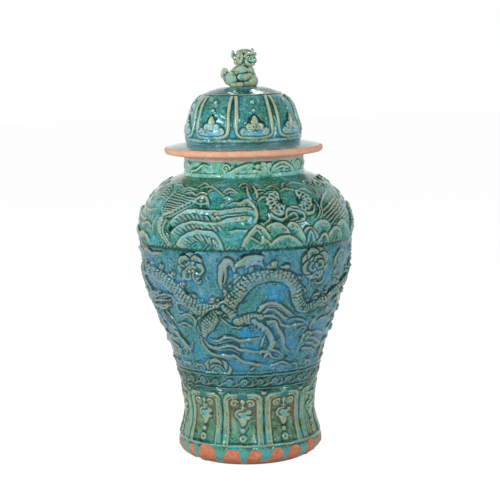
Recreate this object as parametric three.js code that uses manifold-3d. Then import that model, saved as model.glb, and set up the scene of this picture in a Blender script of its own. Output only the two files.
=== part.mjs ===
// A glazed temple jar: a baluster body on a waisted foot, with a domed lid, a flat brim and a seated lion.
// Millimetres, +Z up, the jar stands on Z = 0 and its axis is the Z axis.
// Azimuths are in degrees, counted from the front (-Y) towards the right (+X).
import * as THREE from 'three';
import { mergeVertices } from 'three/addons/utils/BufferGeometryUtils.js';
import Module from 'manifold-3d';

const wasm = await Module();
wasm.setup();

// Driving dimensions
const HEIGHT = 635;
const WALL = 10;
const WALL_SIDES = 28;
const SEAT_GAP = 0.3;

// Jar: the heights where its thrown sections are luted together, and its foot and mouth
const FOOT_SEAM = 120;
const SHOULDER_SEAM = 340;
const NECK_SEAM = 443;
const NECK_TOP = 474.5;
const NECK_RADIUS = 92.5;
const NECK_BORE = 83.5;
const FOOT_RING_INNER = 76;
const FOOT_RECESS = 8;
const FLOOR_TOP = 22;
const SEAM_GROOVE = 1.5;
const BORDER_TOP = 145.5;

// Outer wall of the jar, as [height, radius] stations on its curve
const JAR_PROFILE = [
  [0, 89], [5, 98.5], [14, 110], [23.5, 111.7], [33, 109.7], [55, 103.3], [75, 99.9], [100, 102.5],
  [125, 108.3], [180, 122.9], [242, 144.7], [305, 161.4], [352, 166.3], [376, 163.9], [399, 154],
  [415, 142], [428, 128.6], [437, 111.3], [443, 95.9],
];

// Lid: brim, dome and the collar that hangs inside the neck
const BRIM_RADIUS = 122.7;
const BRIM_UNDER = NECK_TOP + SEAT_GAP;
const BRIM_EDGE_TOP = 484.5;
const DOME_SEAM = 491;
const LID_BORE = 73;
const COLLAR_RADIUS = 80.5;
const COLLAR_DEPTH = 18;
const DOME_TOP = 576;
const DOME_PROFILE = [
  [491, 90], [508.6, 89.4], [524.3, 86.8], [539.9, 82], [552.4, 75.5], [561.8, 66.6], [568.1, 55.3], [573, 42],
];

// Ornament counts and where the first panel of each ring of panels is centred
const FOOT_PANELS = 10;
const FOOT_PANEL_FIRST = -5.7;
const LID_PANELS = 8;
const LID_PANEL_FIRST = 11.7;

// Applied clay lies just off the wall. The flats between the wall's corners lie inside its true curve, and
// so do the chords of a line of clay, so its underside keeps this much from the true curve. The pieces of
// one sprig lie in layers, so that their undersides never share a face where they are joined. A line's steps
// are so short that a step's chord sags no more than this under the curve of the wall
const SPRIG_LIFT = 1;
const WAIST_LIFT = 1;
const SPRIG_LAYER = 0.22;
const SPRIG_LAYERS = 3;
const SPRIG_SHARPEST_BEND = 68;
const SPRIG_SAG = 0.5;

const rad = THREE.MathUtils.degToRad;

// Materials
const clay = (color, roughness) => new THREE.MeshStandardMaterial({ color, roughness, metalness: 0 });
const greenGlaze = () => clay(0x3f8472, 0.2);
const blueGlaze = () => clay(0x2f7f95, 0.2);
const oliveGlaze = () => clay(0x8c9470, 0.25);
const bareClay = () => clay(0xc4704c, 0.8);

// Radius of a wall at a height: a cubic through its stations, whose slope at a station is that of the
// line between its two neighbours
function profileRadius(stations, z) {
  const last = stations.length - 1;
  const slope = (k) => {
    const [z0, r0] = stations[Math.max(k - 1, 0)];
    const [z1, r1] = stations[Math.min(k + 1, last)];
    return (r1 - r0) / (z1 - z0);
  };
  const above = stations.findIndex(([height]) => height > z);
  const k = above < 0 ? last - 1 : Math.max(above - 1, 0);
  const [z0, r0] = stations[k];
  const [z1, r1] = stations[k + 1];
  const span = z1 - z0;
  const t = THREE.MathUtils.clamp((z - z0) / span, 0, 1);
  const t2 = t * t;
  const t3 = t2 * t;
  return (2 * t3 - 3 * t2 + 1) * r0 + (t3 - 2 * t2 + t) * span * slope(k)
    + (3 * t2 - 2 * t3) * r1 + (t3 - t2) * span * slope(k + 1);
}

function profileSlope(stations, z) {
  const reach = 0.5;
  return (profileRadius(stations, z + reach) - profileRadius(stations, z - reach)) / (2 * reach);
}

// The plain wall under an ornament: its radius and the slope of its side at a height
const jarWall = {
  radius: (z) => profileRadius(JAR_PROFILE, z),
  slope: (z) => profileSlope(JAR_PROFILE, z),
};
const neckWall = { radius: () => NECK_RADIUS, slope: () => 0 };

// The foot's waist is hollow, so its flats stand out of the true curve and its ornament lies further out
const footWall = { radius: (z) => jarWall.radius(z) + WAIST_LIFT, slope: jarWall.slope };
const domeWall = {
  radius: (z) => profileRadius(DOME_PROFILE, z),
  slope: (z) => profileSlope(DOME_PROFILE, z),
};

// A solid turned about the jar's axis from a closed [radius, height] outline, up the outside first
function turned(outline) {
  const points = outline.map(([r, z]) => new THREE.Vector2(r, z));
  const geometry = new THREE.LatheGeometry(points, WALL_SIDES);
  geometry.rotateX(Math.PI / 2);
  geometry.deleteAttribute('normal');
  geometry.deleteAttribute('uv');
  return mergeVertices(geometry, 1e-4);
}

// Closes an outline that doesn't meet the axis
const closed = (outline) => [...outline, outline[0]];

function toSolid(geometry) {
  const vertProperties = new Float32Array(geometry.attributes.position.array);
  const triVerts = new Uint32Array(geometry.index.array);
  return new wasm.Manifold(new wasm.Mesh({ numProp: 3, vertProperties, triVerts }));
}

function toGeometry(solid) {
  const mesh = solid.getMesh();
  const geometry = new THREE.BufferGeometry();
  geometry.setAttribute('position', new THREE.BufferAttribute(new Float32Array(mesh.vertProperties), 3));
  geometry.setIndex(new THREE.BufferAttribute(new Uint32Array(mesh.triVerts), 1));
  return geometry;
}

// Evenly spaced heights from one end of a wall to the other, both ends included
function heights(from, to, rows) {
  return Array.from({ length: rows + 1 }, (_, k) => from + ((to - from) * k) / rows);
}

// Radius of the jar's inside, a wall's thickness in from the outer face and never under the neck's bore
function innerRadius(z) {
  const thickness = WALL * Math.hypot(1, jarWall.slope(z));
  return z > SHOULDER_SEAM
    ? Math.max(jarWall.radius(z) - thickness, NECK_BORE)
    : jarWall.radius(z) - thickness;
}

const onJar = (z) => [jarWall.radius(z), z];
const inJar = (z) => [innerRadius(z), z];

// A seam's half groove: the wall's edge, cut back where two sections are luted together
const grooved = (z) => [jarWall.radius(z) - SEAM_GROOVE, z];

// Jar sections

function footSection() {
  const outside = [5, 14, 23.5, 35, 52, 74, 97, FOOT_SEAM - SEAM_GROOVE].map(onJar);
  const inside = [FOOT_SEAM, 80, 36].map(inJar);
  return turned([
    [0, FOOT_RECESS], [FOOT_RING_INNER - 5, FOOT_RECESS], [FOOT_RING_INNER, 0], onJar(0),
    ...outside, grooved(FOOT_SEAM), ...inside, [innerRadius(36) - 8, FLOOR_TOP], [0, FLOOR_TOP],
  ]);
}

function bellySection() {
  const border = [FOOT_SEAM + SEAM_GROOVE, BORDER_TOP - SEAM_GROOVE].map(onJar);
  const outside = [BORDER_TOP + SEAM_GROOVE, 185, 220, 254, 286, 316].map(onJar);
  const inside = heights(SHOULDER_SEAM, FOOT_SEAM, 3).map(inJar);
  return turned(closed([
    grooved(FOOT_SEAM), ...border, grooved(BORDER_TOP), ...outside,
    onJar(SHOULDER_SEAM - SEAM_GROOVE), grooved(SHOULDER_SEAM), ...inside,
  ]));
}

function shoulderSection() {
  const outside = [SHOULDER_SEAM + SEAM_GROOVE, 358, 376, 393, 408, 421, 433].map(onJar);
  const inside = [NECK_SEAM, 420, 385, SHOULDER_SEAM].map(inJar);
  return turned(closed([grooved(SHOULDER_SEAM), ...outside, onJar(NECK_SEAM), ...inside]));
}

function neckSection() {
  const rimRound = 2;
  return turned(closed([
    [jarWall.radius(NECK_SEAM), NECK_SEAM], [NECK_RADIUS, NECK_SEAM + 4],
    [NECK_RADIUS, NECK_TOP - rimRound], [NECK_RADIUS - rimRound, NECK_TOP],
    [NECK_BORE + rimRound, NECK_TOP], [NECK_BORE, NECK_TOP - rimRound], [NECK_BORE, NECK_SEAM],
  ]));
}

// Lid sections

function brimSection() {
  const edgeRound = 2.5;
  return turned(closed([
    [LID_BORE, BRIM_UNDER], [BRIM_RADIUS - 2 * edgeRound, BRIM_UNDER],
    [BRIM_RADIUS, BRIM_UNDER + 1.4 * edgeRound], [BRIM_RADIUS, BRIM_EDGE_TOP],
    [108, 488.2], [90, DOME_SEAM], [LID_BORE, DOME_SEAM],
  ]));
}

function collarSection() {
  const bottom = BRIM_UNDER - COLLAR_DEPTH;
  const lead = 2;
  return turned(closed([
    [LID_BORE, bottom], [COLLAR_RADIUS - lead, bottom], [COLLAR_RADIUS, bottom + lead],
    [COLLAR_RADIUS, BRIM_UNDER], [LID_BORE, BRIM_UNDER],
  ]));
}

function domeSection() {
  const onDome = (z) => [domeWall.radius(z), z];
  const outside = [DOME_SEAM, 512, 532, 548, 561].map(onDome);
  const bead = [[domeWall.radius(565) + 1.2, 565], onDome(567.5)];
  const crown = [[34, 575], [30, DOME_TOP], [0, DOME_TOP]];
  const inside = [[0, 567], [40, 563], [66, 543], [79, DOME_SEAM]];
  return turned([...inside, ...outside, ...bead, ...crown]);
}

// Ornament laid on a wall

function onWall(wall, azimuth, z) {
  const a = rad(azimuth);
  const r = wall.radius(z);
  const out = new THREE.Vector2(1, -wall.slope(z)).normalize();
  return {
    point: new THREE.Vector3(r * Math.sin(a), -r * Math.cos(a), z),
    normal: new THREE.Vector3(out.x * Math.sin(a), -out.x * Math.cos(a), out.y),
  };
}

// The value at a place along a line, of a list of values spread evenly over it
function spread(values, t) {
  const at = t * (values.length - 1);
  const k = Math.min(Math.floor(at), values.length - 2);
  return THREE.MathUtils.lerp(values[k], values[k + 1], at - k);
}

// A raised line of clay on a wall. line holds its [azimuth, height] points, half its half widths from
// start to end, height how far it stands out, and top how wide its flat top is against its foot: 0 is a
// ridge with a sharp crest. A line with repeats goes once round the wall and closes on itself, and takes the
// same steps in each repeat. Like every shape of clay here, it is made once its layer is known
const stroke = (wall, line, half, height, top = 0, repeats = 0) => (lift) => {
  const mmPerDegree = rad(wall.radius(line[0][1]));
  const curve = new THREE.SplineCurve(line.map(([a, z]) => new THREE.Vector2(a * mmPerDegree, z)));
  curve.arcLengthDivisions = 12 * line.length;
  const place = (t) => {
    const { x, y } = curve.getPointAt(t);
    return onWall(wall, x / mmPerDegree, y);
  };
  const longest = Math.sqrt(8 * SPRIG_SAG * wall.radius(line[0][1]));
  const least = stepsAlong(heights(0, 1, 6 * line.length).map((t) => place(t).point), longest);
  const looped = repeats > 0;
  const steps = looped ? repeats * Math.round(least / repeats) : least;
  const side = new THREE.Vector3();
  const vertices = [];
  const put = (point, sideways, normal, out) => {
    const vertex = point.clone().addScaledVector(side, sideways).addScaledVector(normal, out);
    vertices.push(vertex.x, vertex.y, vertex.z);
  };
  for (const t of heights(0, 1, steps).slice(0, looped ? -1 : undefined)) {
    const { point, normal } = place(t);
    const reach = 0.2 / line.length;
    const ahead = place(Math.min(t + reach, 1)).point;
    const behind = place(Math.max(t - reach, 0)).point;
    side.crossVectors(ahead.sub(behind), normal).normalize();
    const w = spread(half, t);
    put(point, -w, normal, lift);
    put(point, w, normal, lift);
    if (top > 0) {
      put(point, w * top, normal, height);
      put(point, -w * top, normal, height);
    } else {
      put(point, 0, normal, height);
    }
  }
  return toSolid(skin(vertices, steps, top > 0 ? 4 : 3, looped));
};

// How many steps a line takes, so that no step is too long for the wall's curve or bends too sharply
function stepsAlong(points, longest) {
  let length = 0;
  let bend = 0;
  for (let k = 1; k < points.length; k += 1) {
    length += points[k].distanceTo(points[k - 1]);
    if (k > 1) {
      const before = points[k - 1].clone().sub(points[k - 2]);
      bend += before.angleTo(points[k].clone().sub(points[k - 1]));
    }
  }
  return Math.ceil(Math.max(length / longest, bend / rad(SPRIG_SHARPEST_BEND)));
}

// A closed skin over a row of equal rings of points, with a flat cap on each end unless it is looped
function skin(vertices, steps, ring, looped) {
  const index = [];
  for (let step = 0; step < steps; step += 1) {
    const next = looped ? ((step + 1) % steps) * ring : (step + 1) * ring;
    for (let k = 0; k < ring; k += 1) {
      const after = (k + 1) % ring;
      index.push(step * ring + k, next + k, step * ring + after);
      index.push(step * ring + after, next + k, next + after);
    }
  }
  const end = steps * ring;
  for (let k = 1; k < ring - 1 && !looped; k += 1) {
    index.push(0, k, k + 1);
    index.push(end, end + k + 1, end + k);
  }
  const geometry = new THREE.BufferGeometry();
  geometry.setAttribute('position', new THREE.BufferAttribute(new Float32Array(vertices), 3));
  geometry.setIndex(index);
  return geometry;
}

// A rosette of round lobes about a centre. With one lobe it is a plain button. fold is how deep the
// notches between lobes cut in, as a share of the radius, turn turns it on its centre, in degrees, and
// wide draws it out sideways
const rosette = (wall, azimuth, z, radius, height, shape = {}) => (lift) => {
  const { lobes = 1, fold = 0.3, turn = 0, wide = 1 } = shape;
  const { point, normal } = onWall(wall, azimuth, z);
  const across = new THREE.Vector3(-normal.y, normal.x, 0).normalize();
  const upward = new THREE.Vector3().crossVectors(normal, across);
  const sides = lobes > 1 ? lobes * 3 : 6;
  const vertices = [];
  const put = (reach, angle, out) => {
    const vertex = point.clone().addScaledVector(normal, out)
      .addScaledVector(across, reach * wide * Math.cos(angle)).addScaledVector(upward, reach * Math.sin(angle));
    vertices.push(vertex.x, vertex.y, vertex.z);
  };
  for (const [share, out] of [[1, lift], [0.72, height]]) {
    for (let k = 0; k < sides; k += 1) {
      const notch = lobes > 1 && k % 3 === 0 ? 1 - fold : 1;
      put(radius * share * notch, rad(turn) + (2 * Math.PI * k) / sides, out);
    }
  }
  put(0, 0, lift);
  put(0, 0, height * 1.1);
  const index = [];
  for (let k = 0; k < sides; k += 1) {
    const next = (k + 1) % sides;
    index.push(k, next, sides + k, next, sides + next, sides + k);
    index.push(2 * sides, next, k);
    index.push(2 * sides + 1, sides + k, sides + next);
  }
  const geometry = new THREE.BufferGeometry();
  geometry.setAttribute('position', new THREE.BufferAttribute(new Float32Array(vertices), 3));
  geometry.setIndex(index);
  return toSolid(geometry);
};

// A scroll: a line that winds in towards its centre
function scroll(wall, azimuth, z, radius, turns, start, half, height) {
  const degreesPerMm = 180 / (Math.PI * wall.radius(z));
  const line = heights(0, 1, Math.ceil(turns * 8)).map((t) => {
    const angle = rad(start + 360 * turns * t);
    const reach = radius * (1 - 0.75 * t);
    return [azimuth + degreesPerMm * reach * Math.cos(angle), z + reach * Math.sin(angle)];
  });
  return stroke(wall, line, half, height);
}

const joined = (solids) => solids.reduce((all, solid) => all.add(solid));

// One sprig: shapes of clay that touch, joined into one body
function sprig(shapes) {
  const solids = shapes.map((shape, k) => shape(SPRIG_LIFT + SPRIG_LAYER * (k % SPRIG_LAYERS)));
  return toGeometry(joined(solids));
}

// Mirrors a line about a panel's centre
const mirrored = (line, centre) => line.map(([a, z]) => [2 * centre - a, z]);

// The borders of a ring of panels, as one raised line that runs on from panel to panel. half is the left
// half of one panel's border, from its open end to its middle, in azimuths from the panel's centre
function borderLine(wall, panels, first, half) {
  const pitch = 360 / panels;
  const side = half.map(([a, z]) => [first + a, z]);
  const panel = [...side, ...mirrored(side, first).reverse().slice(1)];
  const line = [];
  for (let k = 0; k < panels; k += 1) {
    line.push(...panel.map(([a, z]) => [a + pitch * k, z]));
  }
  return stroke(wall, [...line, [line[0][0] + 360, line[0][1]]], [2, 2], 2, 0, panels);
}

// Foot ornament: ten round-headed panels, open at the base, and a hanging cloud head in each

const footFrames = () => [borderLine(
  footWall, FOOT_PANELS, FOOT_PANEL_FIRST,
  [[-16.6, 34.5], [-15, 38], [-15.2, 66], [-15.2, 98], [-12.5, 111], [-6, 113], [0, 110]],
)];

function footCloud(c) {
  const curls = [[c - 10.4, 96], [c - 6.5, 102], [c - 1, 83], [c + 1, 83], [c + 6.5, 102], [c + 10.4, 96]];
  return [
    rosette(footWall, c, 76, 11.5, 3, { lobes: 3, fold: 0.45, turn: -30 }),
    stroke(footWall, curls, [2, 3.2, 3.4, 3.2, 2], 2.6),
  ];
}

// Belly ornament, on the half of the belly that faces the front. The other half repeats it

function dragon() {
  const line = (points, half, height, top) => stroke(jarWall, points, half, height, top);
  const body = [
    [-76, 256], [-83, 264], [-86, 279], [-82, 296], [-73, 304], [-62, 301], [-52, 294], [-44, 280], [-37, 264],
    [-29, 253], [-20, 249], [-13, 255], [-6, 273], [-1, 290], [5, 301], [14, 304], [22, 299], [27.5, 283],
    [30, 262], [35, 249], [43, 251], [53, 260], [64, 272], [74, 285], [80, 300],
  ];
  const girth = [6, 8, 10, 11.5, 12, 12.5, 12, 11.5, 11, 10.5, 10, 9.5, 9.5, 9, 8, 7, 5.5, 3];
  const spines = [
    [-67, 304, -69, 319], [-52, 296, -50, 313], [-40, 275, -36, 289], [-22, 253, -21, 270],
    [-9, 269, -12, 281], [1, 297, 1, 316], [13, 304, 14, 321], [26, 290, 32, 297],
  ];
  return [
    line(body, girth, 4.5, 0.55),
    // Head: snout, lower jaw and horn
    line([[-77, 254], [-68, 257], [-59, 263], [-48, 266]], [8, 8, 6, 3], 5.5, 0.5),
    line([[-74, 250], [-65, 246], [-57, 247], [-51, 251]], [5, 4.5, 3.5, 2], 4.5),
    line([[-66, 260], [-70, 270], [-76, 276]], [3, 2.4, 1.2], 5),
    ...spines.map(([a0, z0, a1, z1]) => line([[a0, z0], [a1, z1]], [6.5, 2.4], 3.2)),
    // Foreleg and its claws
    line([[-70, 248], [-63, 236], [-57, 222], [-51, 204], [-46, 188]], [6, 6.5, 5, 4], 3.8),
    line([[-46, 191], [-42, 184], [-40.5, 195]], [3.4, 3, 1.6], 3.4),
    line([[-46, 191], [-51, 180]], [3.4, 1.6], 3.2),
    // Thigh, and the three ribbons of flame that trail from it
    line([[-17, 246], [-23, 230], [-29, 213], [-29, 202]], [7, 11, 8, 4], 4.2, 0.4),
    line([[-29, 205], [-23, 199], [-16, 205], [-9, 204], [-2, 199], [6, 202]], [4, 4.4, 4, 2.4], 3),
    line([[-29, 205], [-24, 189], [-17, 189], [-11, 191], [-4, 183], [8, 181]], [4, 4.4, 4, 2.4], 3),
    line([[-30, 204], [-27, 182], [-18, 175.5], [-10, 175], [-2, 165], [9, 161]], [4, 4.8, 4.4, 2.4], 3),
    // Hip, the hair that streams from it and the hind leg with its claws
    line([[-14, 254], [-6, 240], [1, 237], [10, 242]], [7, 9, 9, 6], 4, 0.45),
    line([[6, 247], [10, 260], [15, 263], [21, 256], [28, 241]], [3.6, 4.2, 3], 3),
    line([[8, 246], [13, 253], [19, 247], [24, 231], [31, 230], [38, 225]], [3.6, 4, 2.4], 2.8),
    line([[9, 240], [16, 231], [20, 215], [24.5, 200], [29, 183]], [4, 4.2, 2.4], 2.8),
    line([[4, 236], [12, 222], [16, 205], [15, 190], [11, 173]], [6.5, 6, 5, 2], 3.6),
    line([[14, 186], [17, 175], [21, 170]], [3.4, 2.8, 1.6], 3),
  ];
}

// A wisp of cloud or flame, thick in its middle
const wisp = (line) => stroke(jarWall, line, [3.6, 6, 6, 2.6], 3.2);

const lotusCloud = () => [
  rosette(jarWall, -29.5, 318, 20, 2.8, { lobes: 6, fold: 0.2 }),
  rosette(jarWall, -29.5, 316, 10, 4, { lobes: 3 }),
  wisp([[-26, 308], [-27, 298], [-25, 286]]),
  wisp([[-25, 320], [-18.5, 315], [-19, 290]]),
  wisp([[-35, 324], [-44, 332], [-54, 333], [-64, 334], [-74, 331], [-84, 329]]),
];

const hookCloud = () => [
  wisp([[-12.6, 286], [-14, 300], [-13, 317], [-9, 327], [-4.5, 318]]),
  wisp([[-9, 325], [-2, 330], [5, 329], [8.5, 319]]),
];

const sideCloud = () => [
  wisp([[55, 304], [54.6, 318], [58.5, 328], [64, 327], [67, 316], [69, 305]]),
  wisp([[56, 313], [60, 298], [61.5, 288], [58.6, 278]]),
];

// The low cloud's rolled head, and the flames that blow from it
const lowCloud = () => [
  wisp([[38.5, 190], [39, 201], [43, 208], [46.6, 202], [46, 191]]),
  wisp([[45.5, 196], [50, 197], [56, 191], [62, 185]]),
  wisp([[39, 192], [46, 187], [52, 186], [59, 178]]),
  wisp([[39, 192], [43, 180], [49, 178], [57, 171]]),
];

// Flames that curl up from behind the claw
const curlingFlame = () => [
  rosette(jarWall, -70, 214, 9.5, 3),
  wisp([[-72, 221], [-80, 217], [-86, 205]]),
  wisp([[-68, 209], [-66, 200], [-61, 197], [-58, 203]]),
  wisp([[-71, 208], [-75, 194], [-70, 185], [-61, 187]]),
];

const peonyCloud = () => [
  rosette(jarWall, 38, 317, 21, 2.8, { lobes: 6, fold: 0.2 }),
  rosette(jarWall, 37, 318, 11, 4, { lobes: 3, turn: 60 }),
  wisp([[39, 306], [41, 298], [40, 287]]),
  wisp([[43, 312], [48, 300], [51, 291]]),
];

const waveCrest = () => [
  rosette(jarWall, -26, 161, 13, 2.8, { lobes: 5, turn: 18 }),
  rosette(jarWall, -33.5, 158, 8, 2.4, { lobes: 3 }),
  rosette(jarWall, -18.5, 159, 8, 2.4, { lobes: 3, turn: 60 }),
];

// Shoulder ornament, on the front half. The other half repeats it

function phoenix() {
  const line = (points, half, height, top) => stroke(jarWall, points, half, height, top);
  const feathers = [[413, 409], [401, 395], [388, 380]].map(
    ([root, tip]) => line([[-50, root], [-61, root + 2], [-73, tip]], [4, 6, 2.4], 2.8),
  );
  return [
    // Wing: its broad blade, its leading edge and the feathers behind it
    line([[-31, 412], [-40, 405], [-52, 404]], [3, 12, 16], 2.4, 0.8),
    line([[-28, 413], [-34, 404], [-40, 396], [-47, 388]], [3, 3.4, 3.8], 3.6),
    ...feathers,
    // Breast and neck, bent back to a crested head
    line([[-46, 389], [-51, 384], [-49, 372], [-45, 360], [-43, 353]], [5, 8, 7, 4], 3.6, 0.4),
    line([[-30, 410], [-27, 417], [-22, 413], [-20, 407]], [3, 4.4, 2.4], 3),
    line([[-27, 417], [-22, 427], [-14, 426], [-8, 418]], [2.4, 3.6, 2], 2.8),
    // Tail: three plumes
    line([[-51, 380], [-38, 391], [-29, 395], [-18, 393], [-7, 397], [4, 402]], [4, 7, 6.4, 2.6], 3.4),
    line([[-49, 371], [-38, 376], [-29, 380], [-18, 378], [0, 386]], [4, 6.4, 6, 2.6], 3.4),
    line([[-46, 357], [-34, 360], [-26, 366], [-18, 363], [-13, 351]], [4, 6.4, 6.4, 2.6], 3.4),
    line([[-8, 398], [-5, 408], [2, 411], [5, 399], [1, 384]], [2.4, 3.6, 2.6], 2.8),
  ];
}

// Two blooms side by side, with leaves over them
const peony = () => [
  rosette(jarWall, 20.5, 401, 17, 3, { lobes: 5, fold: 0.25, turn: 36 }),
  rosette(jarWall, 32.5, 401, 18, 3.4, { lobes: 5, fold: 0.25 }),
  wisp([[24, 408], [20, 426], [10, 423]]),
  wisp([[30, 412], [36, 427], [46, 423]]),
];

// The far wing, spread behind the blooms
const farWing = () => [
  [[50, 398], [60, 411]], [[56, 394], [68, 404]], [[60, 388], [73, 394]], [[62, 382], [77, 385]],
].map(([middle, tip]) => stroke(jarWall, [[46, 383], middle, tip], [4, 5, 2.4], 3));

// Mounds that overlap like waves, each an arch of clay from its left foot to its right
const rocks = () => [[1, 6, 12, 17], [14, 20, 27, 33], [30, 37, 44, 50], [47, 54, 63, 70]].map(
  ([left, rise, fall, right]) => stroke(
    jarWall, [[left, 353], [rise, 370], [fall, 365], [right, 352]], [4, 8, 8, 4], 3.2,
  ),
);

// Neck ornament: a rolling scroll with its tail and a cluster of lobes
const neckScroll = () => [
  scroll(neckWall, -17, 457, 8, 1.1, -60, [1.8, 1], 1.8),
  stroke(neckWall, [[-15, 449.8], [-8, 453], [-1, 460], [6, 462], [14, 456]], [1.8, 2, 1.4], 1.8),
  rosette(neckWall, 18, 456, 8.5, 2, { lobes: 5 }),
];

// Lid ornament: eight panels with round lower corners, hung side by side, and a cloud head in each

const lidFrames = () => [borderLine(
  domeWall, LID_PANELS, LID_PANEL_FIRST,
  [[-20.5, 558], [-18.2, 555], [-18.5, 536], [-18.5, 516], [-16, 504.5], [-9, 502], [0, 502]],
)];

const lidCloud = (c) => [rosette(domeWall, c, 519, 13.5, 2.8, { lobes: 5, fold: 0.2, turn: 54, wide: 1.45 })];

// Lion finial. It sits facing right on the crown of the dome, one paw on a ball. Each place is measured
// from the middle of the crown, [right, back, up], and grow makes a part larger all round, so that one
// part can be cut to seat on another

// Half the height of the horn on its brow, whose tip is the top of the jar
const HORN_HALF = 5.5;

// A lump of clay with no half size over this needs fewer faces
const SMALL_LUMP = 9;

function lump(at, radii, grow = 0, tilt = 0) {
  const small = Math.max(...radii) < SMALL_LUMP;
  const geometry = new THREE.SphereGeometry(1, small ? 6 : 7, small ? 4 : 5);
  geometry.deleteAttribute('normal');
  geometry.deleteAttribute('uv');
  geometry.rotateX(Math.PI / 2);
  geometry.scale(radii[0] + grow, radii[1] + grow, radii[2] + grow);
  geometry.rotateY(rad(tilt));
  geometry.translate(at[0], at[1], DOME_TOP + at[2]);
  return toSolid(mergeVertices(geometry, 1e-4));
}

const lionBody = (grow = 0) => joined([
  lump([1, 0, 20], [10, 9.5, 15], grow),
  lump([-9, 0, 20], [14, 9, 9.5], grow, -48),
  lump([-14.5, -7, 11], [9, 5.5, 12.5], grow),
  lump([-14.5, 7, 11], [9, 5.5, 12.5], grow),
  lump([-5.5, -9, 3.5], [8, 3.8, 3.6], grow),
  lump([-5.5, 9, 3.5], [8, 3.8, 3.6], grow),
]);

const lionHead = () => joined([
  lump([6, 0, 45], [13.5, 12, 12]),
  lump([16.5, 0, 40.5], [6.3, 8, 6.2]),
  lump([14, 0, 51], [7.5, 8.5, 5.5], 0, 30),
  lump([-3, -10.8, 43.5], [5.4, 3.4, 8.8]),
  lump([-3, 10.8, 43.5], [5.4, 3.4, 8.8]),
  lump([-10.5, 0, 50], [7, 6, 5], 0, 25),
  lump([16, -3, HEIGHT - DOME_TOP - HORN_HALF], [3, 3, HORN_HALF]),
]);

const lionTail = () => joined([
  lump([-25.6, 0, 22.5], [6.6, 4.6, 8]),
  lump([-23.5, 0, 14], [4.2, 3.8, 6], 0, -20),
]);

const lionBall = (grow = 0) => lump([17, -2, 8.4], [8.2, 8.2, 8.4], grow);

const lionForelegs = () => joined([
  lump([7.5, -8, 18], [10.5, 4.8, 5.4], 0, -8),
  lump([10, 2, 17], [7, 8.5, 6]),
  lump([12, 7, 9.5], [5.5, 4.6, 10.5], 0, 14),
]);

// The crown that the lion is luted to, a seat's gap up
function crownSeat() {
  const slab = 20;
  const reach = 80;
  const geometry = new THREE.BoxGeometry(reach, reach, slab);
  geometry.deleteAttribute('normal');
  geometry.deleteAttribute('uv');
  geometry.translate(0, 0, DOME_TOP + SEAT_GAP - slab / 2);
  return toSolid(mergeVertices(geometry, 1e-4));
}

// Builds one named piece, turned about the jar's axis if a turn in degrees is given
function piece(name, geometry, material, turn = 0) {
  const mesh = new THREE.Mesh(geometry, material);
  mesh.name = name;
  mesh.rotation.z = rad(turn);
  return mesh;
}

function buildJar() {
  const jar = new THREE.Group();
  jar.add(piece('jar_foot', footSection(), greenGlaze()));
  jar.add(piece('jar_belly', bellySection(), blueGlaze()));
  jar.add(piece('jar_shoulder', shoulderSection(), greenGlaze()));
  jar.add(piece('jar_neck', neckSection(), greenGlaze()));
  jar.add(piece('foot_frames', sprig(footFrames()), oliveGlaze()));
  const hanging = sprig(footCloud(FOOT_PANEL_FIRST));
  for (let k = 0; k < FOOT_PANELS; k += 1) {
    jar.add(piece(`foot_cloud_${k + 1}`, hanging, oliveGlaze(), (360 / FOOT_PANELS) * k));
  }
  const halves = {
    dragon: sprig(dragon()),
    lotus_cloud: sprig(lotusCloud()),
    hook_cloud: sprig(hookCloud()),
    side_cloud: sprig(sideCloud()),
    low_cloud: sprig(lowCloud()),
    curling_flame: sprig(curlingFlame()),
    peony_cloud: sprig(peonyCloud()),
    wave_crest: sprig(waveCrest()),
    phoenix: sprig(phoenix()),
    peony: sprig(peony()),
    far_wing: sprig(farWing()),
    rocks: sprig(rocks()),
    neck_scroll: sprig(neckScroll()),
  };
  for (const [name, geometry] of Object.entries(halves)) {
    jar.add(piece(`${name}_front`, geometry, oliveGlaze()));
    jar.add(piece(`${name}_back`, geometry, oliveGlaze(), 180));
  }
  return jar;
}

function buildLid() {
  const lid = new THREE.Group();
  lid.add(piece('lid_dome', domeSection(), greenGlaze()));
  lid.add(piece('lid_brim', brimSection(), bareClay()));
  lid.add(piece('lid_collar', collarSection(), bareClay()));
  lid.add(piece('lid_frames', sprig(lidFrames()), oliveGlaze()));
  const hanging = sprig(lidCloud(LID_PANEL_FIRST));
  for (let k = 0; k < LID_PANELS; k += 1) {
    lid.add(piece(`lid_cloud_${k + 1}`, hanging, oliveGlaze(), (360 / LID_PANELS) * k));
  }
  const crown = crownSeat();
  const body = lionBody().subtract(crown);
  const ball = lionBall().subtract(crown).subtract(lionBody(SEAT_GAP));
  const forelegs = lionForelegs().subtract(crown).subtract(lionBody(SEAT_GAP)).subtract(lionBall(SEAT_GAP));
  lid.add(piece('lion_body', toGeometry(body), oliveGlaze()));
  lid.add(piece('lion_ball', toGeometry(ball), oliveGlaze()));
  lid.add(piece('lion_forelegs', toGeometry(forelegs), oliveGlaze()));
  lid.add(piece('lion_head', toGeometry(lionHead().subtract(lionBody(SEAT_GAP))), oliveGlaze()));
  lid.add(piece('lion_tail', toGeometry(lionTail().subtract(lionBody(SEAT_GAP))), oliveGlaze()));
  return lid;
}

const templeJar = new THREE.Group();
templeJar.name = 'temple_jar';
templeJar.add(buildJar(), buildLid());

export default templeJar;
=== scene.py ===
"""A glazed temple jar: a baluster body on a waisted foot, and a domed lid with a brim and a seated lion.

Lengths are in millimetres until a mesh is made. Azimuths are in degrees, counted from the front (-Y)
towards the right (+X). The ornament is laid on unwrapped walls as ridges, buttons and curls of clay, given
by azimuth and height, and each wall is then turned into one closed mesh.
"""

import math

import bpy
import numpy as np
from mathutils import Matrix, Vector


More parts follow.
